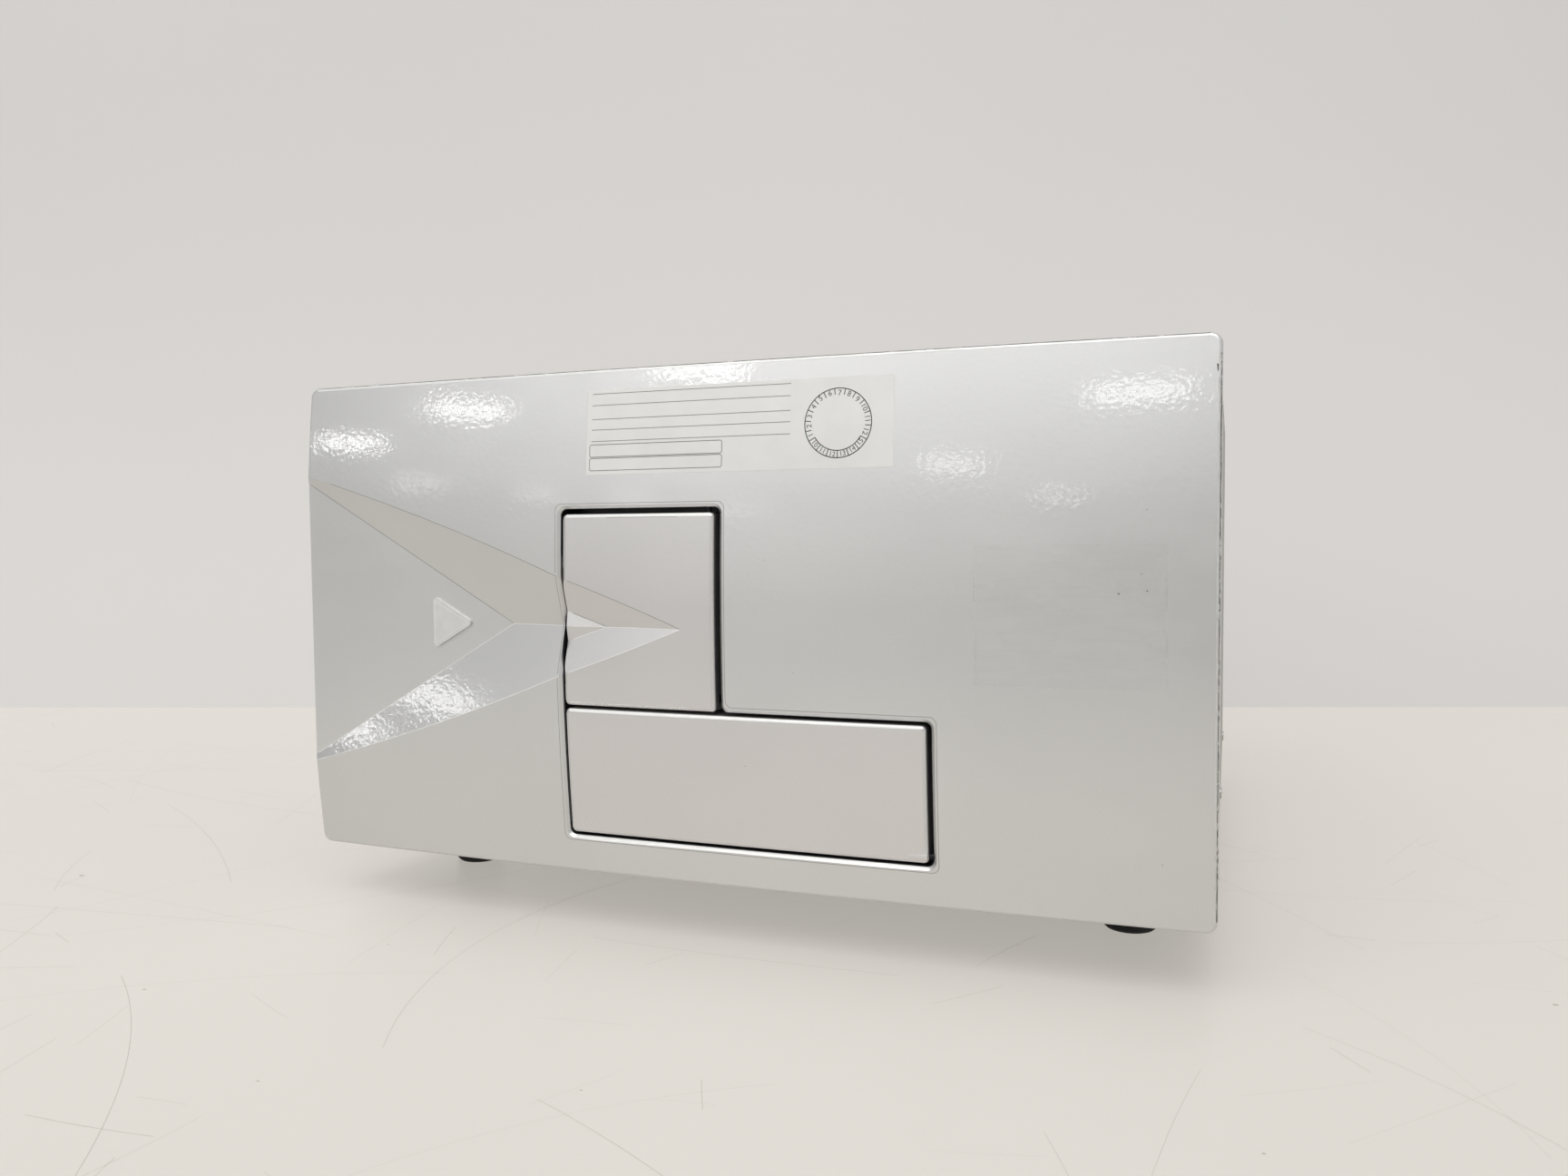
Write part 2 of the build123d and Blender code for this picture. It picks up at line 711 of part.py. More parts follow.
def plate_pocket():
    """Clear pocket that locates a plate, as X and Y ranges."""
    x = (transport_x - plate_length / 2 - plate_play, transport_x + plate_length / 2 + plate_play)
    start = tray_front_y + 5.0
    return x, (start, start + plate_width + 2 * plate_play)


def plate_tray():
    """Tray with a plate pocket, a window under it and a tongue back to the cross rods."""
    x = (transport_x - tray_width / 2, transport_x + tray_width / 2)
    y = (tray_front_y, tray_back_y)
    top = tray_floor_z + tray_floor + tray_rim
    frame = span(x, y, (tray_floor_z, top))
    frame = fillet(frame.edges().filter_by(Axis.Z), 4.0)
    pocket_x, pocket_y = plate_pocket()
    frame -= span(pocket_x, pocket_y, (tray_floor_z + tray_floor, top + 1))
    window_x = (pocket_x[0] + tray_ledge, pocket_x[1] - tray_ledge)
    window_y = (pocket_y[0] + tray_ledge, pocket_y[1] - tray_ledge)
    frame -= span(window_x, window_y, (tray_floor_z - 1, top))
    grip = 16.0
    for side in (-1, 1):
        gap_x = transport_x + side * plate_length / 4
        frame -= span((gap_x - grip, gap_x + grip), (y[0] - 1, pocket_y[0] + 1), (tray_floor_z + tray_floor + 2, top + 1))
    tongue_x = (transport_x - tray_tongue_half, transport_x + tray_tongue_half)
    tongue_y = (tray_back_y - 1, carriage_back_y - 2)
    frame += span(tongue_x, tongue_y, (tray_floor_z, tray_floor_z + tray_floor))
    for side in (-1, 1):
        edge = transport_x + side * tray_tongue_half
        rib = sorted((edge, edge - side * 3))
        frame += span(rib, tongue_y, (tray_floor_z, tray_floor_z + tray_floor + 4))
    for place in tray_bush_places():
        frame += tray_bush_block(*place)
    return frame


def tray_bush_places():
    """Centres of the bushes that run on the cross rods."""
    return [(transport_x + side * cross_bush_half, y)
            for side in (-1, 1) for y in (cross_front_y, cross_back_y)]


def tray_bush_block(x, y):
    """Block under the tongue with its bore for one bush."""
    half = cross_bush_length / 2
    block = span((x - half, x + half), (y - 5, y + 5), (cross_z - 4.6, tray_floor_z + 1))
    return block - rod_x(cross_radius + 1.2, (x - half, x + half), y, cross_z)


def tray_bushings():
    """Four thin bushes in the tray's blocks."""
    half = cross_bush_length / 2
    bushes = []
    for x, y in tray_bush_places():
        reach = (x - half, x + half)
        sleeve = rod_x(cross_radius + 1.2, reach, y, cross_z)
        bushes.append(sleeve - rod_x(cross_radius + pin_fit, reach, y, cross_z))
    return Part() + bushes


def clamp_pivot():
    """Place of the plate clamp's pin, behind the pocket's right corner."""
    return transport_x + tray_width / 2 - 18.0, plate_pocket()[1][1] + 5.5


def plate_clamp():
    """Sprung lever that pushes the plate into its corner."""
    x, y = clamp_pivot()
    z = tray_floor_z + tray_floor + tray_rim
    base = z + 0.3
    outline = Pos(x, y) * Circle(4.0)
    arm = make_face(Polyline((x - 2, y - 3), (x + 9, y - 3), (x + 12, y - 9), (x + 14.5, y - 9),
                             (x + 14.5, y + 1), (x - 2, y + 3), close=True))
    lever = Pos(0, 0, base) * extrude(outline + arm, amount=2.4)
    return lever - rod_z(1.5 + pin_fit, x, y, (base - 1, base + 4))


def clamp_pin():
    """Shouldered pin on which the plate clamp turns."""
    x, y = clamp_pivot()
    z = tray_floor_z + tray_floor + tray_rim
    return rod_z(1.5, x, y, (z, z + 3.2)) + rod_z(2.6, x, y, (z + 3.0, z + 3.9))


def tooth(outward):
    """One straight-sided tooth, centred on the pitch line, pointing along +Y of its sketch."""
    root, tip = tooth_root / 2, tooth_tip / 2
    return make_face(Polyline((-root, -tooth_in - 0.3), (-tip, outward), (tip, outward),
                              (root, -tooth_in - 0.3), close=True))


def toothed_wheel(radius, count, thickness, bore):
    """Wheel with straight-sided teeth, along X from its middle."""
    outline = Circle(radius - tooth_in)
    one = Pos(0, radius) * tooth(tooth_out)
    outline += [Rot(0, 0, 360 * turn / count) * one for turn in range(count)]
    outline -= Circle(bore)
    wheel = extrude(outline, amount=thickness / 2, both=True)
    return Rot(0, 90, 0) * wheel


def belt_pulley(bore):
    """Toothed belt pulley with two flanges."""
    half = belt_width / 2 + 0.4
    outline = Circle(pulley_radius - 0.8) - Circle(bore)
    gap = Pos(0, pulley_radius - 0.4) * Rectangle(1.2, 0.9)
    for turn in range(pulley_teeth):
        ridge = Rot(0, 0, 360 * turn / pulley_teeth) * gap
        outline += ridge
    hub = extrude(outline, amount=half, both=True)
    flange = Circle(pulley_radius + 2.2) - Circle(bore)
    for side in (-1, 1):
        hub += Pos(0, 0, side * (half + 0.4)) * extrude(flange, amount=0.4, both=True)
    return Rot(0, 90, 0) * hub


def drive_pulley():
    """Pulley on the motor's shaft."""
    return Pos(belt_x, drive_y, belt_z) * belt_pulley(shaft_radius)


def motor_shaft():
    """Shaft of the transport motor."""
    plate = motor_plate_x()
    return rod_x(shaft_radius, (plate[0] - 12, belt_x + belt_width / 2 + 2), drive_y, belt_z)


def idler_pulley():
    """Pulley at the front end of the belt."""
    return Pos(belt_x, idler_y, belt_z) * belt_pulley(2.0 + pin_fit)


def motor_plate_x():
    """X range of the plate on which the transport motor is bolted."""
    edge = belt_x - belt_width / 2 - 3.0
    return edge - motor_plate, edge


def motor_bracket():
    """Upright plate for the transport motor, with a foot on the bed."""
    half = motor_size / 2 + 1
    x = motor_plate_x()
    plate = span(x, (drive_y - half, drive_y + half), (bed_top, belt_z + half))
    plate += span((x[0], x[1] + 8), (drive_y + 8, drive_y + half), (bed_top, bed_top + 3))
    return plate - rod_x(pulley_radius + 4, x, drive_y, belt_z)


def transport_motor():
    """Square stepper motor that drives the belt."""
    front = motor_plate_x()[0]
    half = motor_size / 2
    body = span((front - motor_length, front), (drive_y - half, drive_y + half), (belt_z - half, belt_z + half))
    body = chamfer(body.edges().filter_by(Axis.X), 3.0)
    for groove in (0.3, 0.7):
        x = front - groove * motor_length
        ring = span((x - 0.6, x + 0.6), (drive_y - 50, drive_y + 50), (0, 100))
        ring -= span((x - 1, x + 1), (drive_y - half + 0.8, drive_y + half - 0.8),
                     (belt_z - half + 0.8, belt_z + half - 0.8))
        body -= ring
    return body - rod_x(shaft_radius + pin_fit, (front - 14, front + 1), drive_y, belt_z)


def idler_bracket():
    """Forked bracket with the axle of the idler pulley."""
    inner = belt_width / 2 + 1.6
    fork = []
    for side in (-1, 1):
        cheek = sorted((belt_x + side * inner, belt_x + side * (inner + 2.5)))
        fork.append(span(cheek, (idler_y - 6, idler_y + 6), (bed_top, belt_z + 4)))
    fork.append(rod_x(2.0, (belt_x - inner - 0.5, belt_x + inner + 0.5), idler_y, belt_z))
    base = span((belt_x - inner, belt_x + inner), (idler_y - 6, idler_y + 6), (bed_top, bed_top + 2))
    return base + fork


def drive_belt():
    """Endless belt round both pulleys."""
    middle, run = (drive_y + idler_y) / 2, drive_y - idler_y
    inner = pulley_radius + belt_play
    outer = inner + belt_thickness
    loop = SlotCenterToCenter(run, 2 * outer) - SlotCenterToCenter(run, 2 * inner)
    return Pos(belt_x - belt_width / 2, middle, belt_z) * extrude(Plane.YZ * loop, amount=belt_width)


# ================================================================ filter slides and optics
def rack_teeth(z, upward):
    """Row of rack teeth along the rear part of a slide, phased to its pinion."""
    pitch = pi * rack_module
    start = pinion_y - filter_travel - 3 * pitch
    end = pinion_y + 3 * pitch
    low = max(start, slide_front_y + 12)
    high = min(end, slide_front_y + slide_length - 2)
    first = int((pinion_y - low) / pitch)
    last = int((high - pinion_y) / pitch)
    teeth = []
    for step in range(-first, last + 1):
        shape = Plane.YZ * (Pos(pinion_y + (step + 0.5) * pitch, z) * Rot(0, 0, 0 if upward else 180) * rack_tooth())
        teeth.append(Pos(slide_x - pinion_width / 2, 0, 0) * extrude(shape, amount=pinion_width))
    return teeth


def rack_tooth():
    """One rack tooth on the slide's edge."""
    height_out = tooth_out + tooth_out
    root, tip = tooth_root / 2, tooth_tip / 2
    return make_face(Polyline((-root, -0.5), (-root, 0), (-tip, height_out), (tip, height_out),
                              (root, 0), (root, -0.5), close=True))


def filter_slide(z, upward):
    """Slide with four filter bores, a finger tab and a rack on one edge."""
    half = slide_thickness / 2
    x = (slide_x - half, slide_x + half)
    end = slide_front_y + slide_length
    slide = span(x, (slide_front_y, end), (z - slide_height / 2, z + slide_height / 2))
    for centre in filter_depths():
        slide -= rod_x(filter_radius, x, centre, z)
        seat = (slide_x - filter_thickness / 2, x[1] + 1)
        slide -= rod_x(filter_radius + 1.0, seat, centre, z)
    slide -= span((slide_x + 1.5, x[1] + 1), (slide_front_y + 3, slide_front_y + 9), (z - 9, z + 9))
    edge = z + (slide_height / 2 if upward else -slide_height / 2)
    return slide + rack_teeth(edge, upward)


def filter_depths():
    """Depths of the four filters in a slide."""
    return [slide_front_y + first_filter + place * filter_pitch for place in range(filter_count)]


def filter_set(z):
    """Four round glass filters seated in a slide."""
    low = slide_x - filter_thickness / 2
    reach = (low, low + filter_thickness)
    return Part() + [rod_x(filter_radius + 1.0, reach, centre, z) for centre in filter_depths()]


def pinion(z, upper):
    """Pinion with its shaft out through the bay's left wall."""
    phase = 180 if upper else 0
    wheel = toothed_wheel(pinion_radius, pinion_teeth, pinion_width, 0.5)
    wheel = Rot(phase, 0, 0) * wheel
    shaft = rod_x(2.0, (bay_left - 8, slide_x + pinion_width / 2 + 2), 0, 0)
    return Pos(slide_x, pinion_y, z) * wheel + Pos(0, pinion_y, z) * shaft


def slide_motors():
    """Two small geared motors on the bay's left wall."""
    motors = []
    for z in (emission_pinion_z, excitation_pinion_z):
        can = rod_x(small_motor_radius, (bay_left - small_motor_length, bay_left), pinion_y, z)
        motors.append(can - rod_x(2.0 + pin_fit, (bay_left - 10, bay_left), pinion_y, z))
    return Part() + motors


def filter_bay():
    """Long cast channel with three shelves and side guides for both slides."""
    y = (inner_y, bay_back_y)
    inner = (slide_x - bay_half, slide_x + bay_half)
    bay = span((bay_left, bay_right), y, (bay_bottom, bay_top))
    bay -= span(inner, (y[0] - 1, y[1] + 1), (bay_bottom + bay_floor, bay_top - bay_wall))
    half = slide_height / 2
    guide_half_width = slide_thickness / 2 + fit
    shelves = []
    for low_z in (emission_z - half, excitation_z - half):
        shelves.append((low_z - fit - bay_shelf, low_z - fit))
    shelves.append((excitation_z + half + fit, excitation_z + half + fit + bay_shelf))
    for shelf in shelves:
        bay += span(inner, y, shelf)
    for low_z in (emission_z - half, excitation_z - half):
        for side in (-1, 1):
            rib = sorted((slide_x + side * guide_half_width, slide_x + side * (guide_half_width + 3)))
            bay += span(rib, y, (low_z - fit, low_z + 3.0))
    groove = (slide_x - pinion_width / 2 - fit, slide_x + pinion_width / 2 + fit)
    rack_depth = 2 * tooth_out + fit
    bay -= span(groove, y, (emission_z - half - rack_depth, emission_z - half))
    bay -= span(groove, y, (excitation_z + half, excitation_z + half + rack_depth))
    for z in (emission_z, excitation_z):
        bay -= rod_x(9.0, (bay_left - 1, bay_right + 1), optic_y, z)
    window = (slide_x - pinion_width / 2 - 1, slide_x + pinion_width / 2 + 3)
    for z, shelf in ((emission_pinion_z, shelves[0]), (excitation_pinion_z, shelves[2])):
        bay -= span(window, (pinion_y - 8, pinion_y + 8), (shelf[0] - 1, shelf[1] + 1))
        bay -= rod_x(2.0 + pin_fit, (bay_left - 1, slide_x), pinion_y, z)
    return bay


def chamber():
    """Bridge over the transport: two side walls and the deck that carries the optics."""
    y = (inner_y, chamber_back_y)
    left, right = transport_x - chamber_half, transport_x + chamber_half
    bridge = span((deck_left, right + chamber_wall), y, (deck_bottom, deck_top))
    bridge += span((left - chamber_wall, left), y, (pan_floor, deck_bottom))
    bridge += span((right, right + chamber_wall), y, (pan_floor, deck_bottom))
    return bridge - rod_z(objective_radius + fit, objective_x, optic_y, (deck_bottom - 1, deck_top + 1))


def optics_block():
    """Cast block that joins lamp, filters, objective and detector."""
    x = (bay_right, bay_right + optics_width)
    y = (optic_y - optics_length / 2, optic_y + optics_length / 2)
    block = span(x, y, (deck_top, optics_top))
    block = chamfer(block.edges().group_by(Axis.Z)[-1], 4.0)
    for z in (emission_z, excitation_z):
        block -= rod_x(8.0, (x[0] - 1, objective_x), optic_y, z)
    block -= rod_z(8.0, objective_x, optic_y, (deck_top - 1, excitation_z + 8))
    return block - rod_z(objective_radius, objective_x, optic_y, (deck_top - 1, deck_top + 12))


def objective_tube():
    """Threaded tube that holds the lens over the plate."""
    reach = (objective_bottom, deck_top + 12)
    tube = rod_z(objective_radius, objective_x, optic_y, reach)
    tube -= rod_z(lens_radius - 1.2, objective_x, optic_y, reach)
    return tube - rod_z(lens_radius, objective_x, optic_y, (objective_bottom, objective_bottom + 6))


def objective_lens():
    """Plano-convex lens seated in the tube."""
    low = objective_bottom + 2.5
    glass = rod_z(lens_radius, objective_x, optic_y, (low, low + 3.5))
    ball = Pos(objective_x, optic_y, low + 16.0) * Sphere(16.0)
    return glass & ball


def lamp_housing():
    """Finned housing of the flash lamp, bolted to the filter bay."""
    x = (bay_left - lamp_length, bay_left)
    y = (optic_y - lamp_half, optic_y + lamp_half)
    z = (excitation_z - 14.0, excitation_z + lamp_half + 6)
    body = span(x, y, z)
    for fin in range(6):
        fin_x = x[0] + 8 + 9 * fin
        body -= span((fin_x, fin_x + 5), (y[0] - 1, y[1] + 1), (z[1] - 9, z[1] + 1))
    return body - rod_x(11.0 + pin_fit, (x[0] + 16, x[1] + 1), optic_y, excitation_z)


def flash_lamp():
    """Glass flash lamp on its base inside the housing."""
    back = bay_left - lamp_length + 16
    base = rod_x(11.0, (back, back + 12), optic_y, excitation_z)
    return base + rod_x(8.5, (back + 12, back + 40), optic_y, excitation_z)


def detector():
    """Round photomultiplier housing with a square flange."""
    body = rod_x(detector_radius, (bay_left - detector_length, bay_left - 4), optic_y, emission_z)
    flange = span((bay_left - 4, bay_left), (optic_y - 14, optic_y + 14), (emission_z - 14, emission_z + 13))
    return body + flange - rod_x(8.0, (bay_left - 30, bay_left + 1), optic_y, emission_z)


def optics_bracket():
    """Upright on the deck that carries the far ends of lamp and detector."""
    x = (bay_left - detector_length - 4, bay_left - detector_length)
    plate = span(x, (optic_y - 18, optic_y + 18), (deck_top, excitation_z - 14))
    return plate


# ================================================================ power and electronics
def fan_frame():
    """Square fan frame with its motor mount and four struts."""
    y = (rear_flange_y - fan_depth, rear_flange_y)
    half = fan_size / 2
    frame = span((fan_x - half, fan_x + half), y, (fan_z - half, fan_z + half))
    frame = fillet(frame.edges().filter_by(Axis.Y), 4.0)
    frame -= rod_y(half - 2, fan_x, (y[0] - 1, y[1] + 1), fan_z)
    mount = rod_y(17.0, fan_x, (y[0], y[0] + 3), fan_z)
    for angle in (45, 135):
        strut = Rot(0, angle, 0) * Pos(0, 1.5, 0) * Box(2 * half - 2, 3, 4)
        mount += Pos(fan_x, y[0], fan_z) * strut
    ring = rod_y(half + 0.5, fan_x, y, fan_z)
    return frame + (mount & ring) + rod_y(2.5, fan_x, (y[0], y[0] + 9), fan_z)


def fan_rotor():
    """Hub with seven pitched blades."""
    y = (rear_flange_y - fan_depth + 4, rear_flange_y - 2)
    hub = rod_y(18.0, 0, y, 0)
    middle = sum(y) / 2
    for turn in range(7):
        blade = Pos(26.5, 0, 0) * Rot(40, 0, 0) * Box(20, 21, 1.4)
        hub += Rot(0, 360 * turn / 7, 0) * Pos(0, middle, 0) * blade
    hub -= rod_y(2.5 + pin_fit, 0, (y[0] - 1, y[0] + 7), 0)
    return Pos(fan_x, 0, fan_z) * hub


def fan_guard():
    """Wire guard outside the rear panel."""
    y = (rear_y, rear_y + 2)
    rings = [rod_y(radius + 1, fan_x, y, fan_z) - rod_y(radius - 1, fan_x, y, fan_z)
             for radius in (12, 20, 28, 36)]
    spokes = []
    for angle in (45, 135):
        spoke = Rot(0, angle, 0) * Pos(0, 1, 0) * Box(fan_size + 16, 2, 2.4)
        spokes.append(Pos(fan_x, rear_y, fan_z) * spoke)
    return Part() + rings + spokes


def power_inlet():
    """Mains inlet with its flange and socket."""
    z = (inlet_z - 12, inlet_z + 12)
    flange = span((inlet_x - 17, inlet_x + 17), (rear_y, rear_y + 2.5), z)
    flange = fillet(flange.edges().filter_by(Axis.Y), 3.0)
    body = span((inlet_x - 13.8, inlet_x + 13.8), (rear_y - 22, rear_y), (inlet_z - 9.8, inlet_z + 9.8))
    outline = rectangle((inlet_x - 12.1, inlet_x + 12.1), (inlet_z - 8.2, inlet_z + 8.2))
    outline = chamfer(outline.vertices().group_by(Axis.Y)[-1], 3.2)
    return flange + body - prism(outline, (rear_y - 16, rear_y + 4))


def inlet_pins():
    """Three blades of the mains inlet."""
    blades = []
    for x, z in ((-7, -2), (0, 2), (7, -2)):
        blade = span((inlet_x + x - 1, inlet_x + x + 1), (rear_y - 16, rear_y - 4), (inlet_z + z - 2, inlet_z + z + 2))
        blades.append(blade)
    return Part() + blades


def switch_body():
    """Frame of the mains switch."""
    flange = span((switch_x - 12, switch_x + 12), (rear_y, rear_y + 2), (inlet_z - 8.5, inlet_z + 8.5))
    body = span((switch_x - 9.8, switch_x + 9.8), (rear_y - 16, rear_y), (inlet_z - 6.3, inlet_z + 6.3))
    cavity = span((switch_x - 8.5, switch_x + 8.5), (rear_y - 12, rear_y + 3), (inlet_z - 5, inlet_z + 5))
    pivot = rod_z(rocker_pin + pin_fit, switch_x, rocker_y, (inlet_z - 6, inlet_z + 6))
    return flange + body - cavity - pivot


def power_rocker():
    """Rocker of the mains switch, bent in the middle, with its two pivot stubs."""
    outline = make_face(Polyline((-7.8, 3.2), (0, 1.6), (7.8, 0.6), (7.4, -3.0), (0, -5.0), (-7.4, -3.0), close=True))
    rocker = extrude(Plane.XY * outline, amount=4.6, both=True)
    rocker += rod_z(rocker_pin, 0, 0, (-5.8, 5.8))
    return Pos(switch_x, rocker_y, inlet_z) * rocker


def usb_socket():
    """Square data socket on the rear panel."""
    shell = span((usb_x - 6, usb_x + 6), (rear_y - 16, rear_y + 1), (inlet_z - 5.4, inlet_z + 5.4))
    shell -= span((usb_x - 4.3, usb_x + 4.3), (rear_y - 10, rear_y + 2), (inlet_z - 4.0, inlet_z + 4.0))
    return shell + span((usb_x - 2.6, usb_x + 2.6), (rear_y - 10, rear_y - 1), (inlet_z - 1.4, inlet_z + 1.4))


def power_supply():
    """Boxed power supply with a slotted lid, on the pan."""
    back = rear_flange_y - 28
    y = (back - supply_length, back)
    top = pan_floor + supply_height
    box = span((supply_left, supply_right), y, (pan_floor, top))
    for row in range(6):
        slot_y = y[0] + 28 + 20 * row
        box -= span((supply_left + 12, supply_right - 12), (slot_y, slot_y + 4), (top - 1.5, top + 1))
    return box


def board_posts():
    """Standoffs of the main board."""
    bx, by, _ = board_size
    places = [(board_x + sx * (bx / 2 - 6), board_y + sy * (by / 2 - 6)) for sx in (-1, 1) for sy in (-1, 0, 1)]
    return Part() + [rod_z(3.0, x, y, (pan_floor, pan_floor + standoff)) for x, y in places]


def main_board():
    """Control board on its standoffs."""
    bx, by, bz = board_size
    low = pan_floor + standoff
    return span((board_x - bx / 2, board_x + bx / 2), (board_y - by / 2, board_y + by / 2), (low, low + bz))


def board_parts():
    """Chips, connectors and a heat sink on the main board."""
    low = pan_floor + standoff + board_size[2]
    parts = [span((board_x - 15, board_x + 15), (board_y - 15, board_y + 15), (low, low + 3))]
    for row in range(5):
        y = board_y - 120 + 56 * row
        parts.append(span((board_x + 38, board_x + 50), (y, y + 30), (low, low + 9)))
    for row in range(3):
        x = board_x - 45 + 22 * row
        parts.append(span((x, x + 14), (board_y + 60, board_y + 78), (low, low + 2)))
        parts.append(rod_z(6.0, x + 7, board_y + 120, (low, low + 16)))
    return Part() + parts


# ================================================================ export
nodes = {
    "front_panel": front_panel,
    "arrow_inlay": arrow_inlay,
    "door_bezel": door_bezel,
    "front_plate": front_plate,
    "plate_door": plate_door,
    "plate_door_pins": plate_door_pins,
    "filter_door": filter_door,
    "filter_door_pins": filter_door_pins,
    "base_pan": base_pan,
    "top_cover": top_cover,
    "cover_screws": cover_screws,
    "feet": feet,
    "rear_panel": rear_panel,
    "transport_bed": transport_bed,
    "bed_posts": bed_posts,
    "guide_rods": guide_rods,
    "guide_blocks": guide_blocks,
    "carriage": carriage,
    "carriage_bushings": carriage_bushings,
    "belt_clamp": belt_clamp,
    "cross_rods": cross_rods,
    "plate_tray": plate_tray,
    "tray_bushings": tray_bushings,
    "plate_clamp": plate_clamp,
    "clamp_pin": clamp_pin,
    "drive_pulley": drive_pulley,
    "motor_shaft": motor_shaft,
    "idler_pulley": idler_pulley,
    "idler_bracket": idler_bracket,
    "motor_bracket": motor_bracket,
    "transport_motor": transport_motor,
    "drive_belt": drive_belt,
    "filter_bay": filter_bay,
    "emission_slide": lambda: filter_slide(emission_z, False),
    "emission_filters": lambda: filter_set(emission_z),
    "emission_pinion": lambda: pinion(emission_pinion_z, False),
    "excitation_slide": lambda: filter_slide(excitation_z, True),
    "excitation_filters": lambda: filter_set(excitation_z),
    "excitation_pinion": lambda: pinion(excitation_pinion_z, True),
    "slide_motors": slide_motors,
    "chamber": chamber,
    "optics_block": optics_block,
    "objective_tube": objective_tube,
    "objective_lens": objective_lens,
    "lamp_housing": lamp_housing,
    "flash_lamp": flash_lamp,
    "detector": detector,
    "optics_bracket": optics_bracket,
    "fan_frame": fan_frame,
    "fan_rotor": fan_rotor,
    "fan_guard": fan_guard,
    "power_inlet": power_inlet,
    "inlet_pins": inlet_pins,
    "switch_body": switch_body,
    "power_rocker": power_rocker,
    "usb_socket": usb_socket,
    "power_supply": power_supply,
    "main_board": main_board,
    "board_posts": board_posts,
    "board_parts": board_parts,
}

os.makedirs("parts", exist_ok=True)
for name, make in nodes.items():
    export_step(make(), f"parts/{name}.step")
    print(name)
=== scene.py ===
"""Looks of the bench microplate reader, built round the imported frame.  Lengths are in metres."""
import json
from math import ceil, cos, hypot, pi, radians, sin, sqrt
from random import Random

import bmesh
import bpy
from mathutils import Matrix, Vector
from mathutils.bvhtree import BVHTree
from mathutils.geometry import tessellate_polygon


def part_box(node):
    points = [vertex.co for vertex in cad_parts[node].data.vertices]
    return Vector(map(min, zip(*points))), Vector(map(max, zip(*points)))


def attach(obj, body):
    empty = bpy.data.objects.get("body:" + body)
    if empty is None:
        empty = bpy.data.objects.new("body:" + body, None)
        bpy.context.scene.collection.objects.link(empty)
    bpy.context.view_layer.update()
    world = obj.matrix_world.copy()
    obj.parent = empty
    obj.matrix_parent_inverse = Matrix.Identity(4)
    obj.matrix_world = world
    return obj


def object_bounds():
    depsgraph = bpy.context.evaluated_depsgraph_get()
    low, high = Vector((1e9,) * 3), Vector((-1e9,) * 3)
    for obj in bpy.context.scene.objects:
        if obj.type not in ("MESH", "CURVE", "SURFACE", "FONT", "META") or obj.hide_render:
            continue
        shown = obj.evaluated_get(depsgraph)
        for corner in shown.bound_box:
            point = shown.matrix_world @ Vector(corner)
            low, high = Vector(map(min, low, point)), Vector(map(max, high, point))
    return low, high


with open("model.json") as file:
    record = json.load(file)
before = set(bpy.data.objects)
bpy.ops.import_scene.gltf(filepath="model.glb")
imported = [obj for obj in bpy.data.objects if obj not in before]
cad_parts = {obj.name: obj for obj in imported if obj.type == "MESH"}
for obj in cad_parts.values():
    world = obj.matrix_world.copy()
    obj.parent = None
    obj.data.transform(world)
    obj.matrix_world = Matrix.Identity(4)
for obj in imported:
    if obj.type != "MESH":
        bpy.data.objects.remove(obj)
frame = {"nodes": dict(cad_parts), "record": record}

cad_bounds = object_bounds()
MM = 0.001

# ---------------------------------------------------------------- driving sizes
PANEL_LOW, PANEL_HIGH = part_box("front_panel")
PANEL_MIDDLE = (PANEL_LOW[2] + PANEL_HIGH[2]) / 2
FRONT = PANEL_LOW[1]
SIDE_BULGE = 4.68 * MM          # how far the middle stands out from the sides
UPRIGHT_BULGE = 6.94 * MM       # how far the middle stands out from top and bottom
HALF_WIDTH = (PANEL_HIGH[0] - PANEL_LOW[0]) / 2
HALF_HEIGHT = (PANEL_HIGH[2] - PANEL_LOW[2]) / 2
SIDE_RADIUS = (HALF_WIDTH ** 2 + SIDE_BULGE ** 2) / (2 * SIDE_BULGE)
UPRIGHT_RADIUS = (HALF_HEIGHT ** 2 + UPRIGHT_BULGE ** 2) / (2 * UPRIGHT_BULGE)

LABEL_X = (-52.2 * MM, 88.4 * MM)
LABEL_Z = (206.0 * MM, 243.5 * MM)
LABEL_LIFT = 0.12 * MM
RESIDUE_X = (121.0 * MM, 194.0 * MM)
RESIDUE_Z = (119.0 * MM, 174.5 * MM)

# Opening for the two doors, from the doors' own boxes.
FILTER_LOW, FILTER_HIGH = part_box("filter_door")
PLATE_LOW, PLATE_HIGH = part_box("plate_door")
BEZEL_FRONT = PLATE_HIGH[1] + 1.6 * MM      # the bezel's face lies just behind the doors
OPENING_X = (PLATE_LOW[0] - 1.4 * MM, PLATE_HIGH[0] + 2.1 * MM)
OPENING_Z = (PLATE_LOW[2] - 1.5 * MM, FILTER_HIGH[2] + 2.4 * MM)
STEP_X = FILTER_HIGH[0] + 2.6 * MM
STEP_Z = FILTER_LOW[2] + 0.2 * MM
OPENING_CORNER = 3.0 * MM
PANEL_CORNER = 4.5 * MM

# Camera of the photograph's view.
CAMERA_PLACE = (0.2155, -0.68605, 0.18136)
CAMERA_YAW = 0.36191
CAMERA_PITCH = 0.04999
CAMERA_ROLL = -0.00933
CAMERA_LENS = 27.065
SENSOR_WIDTH = 36.0

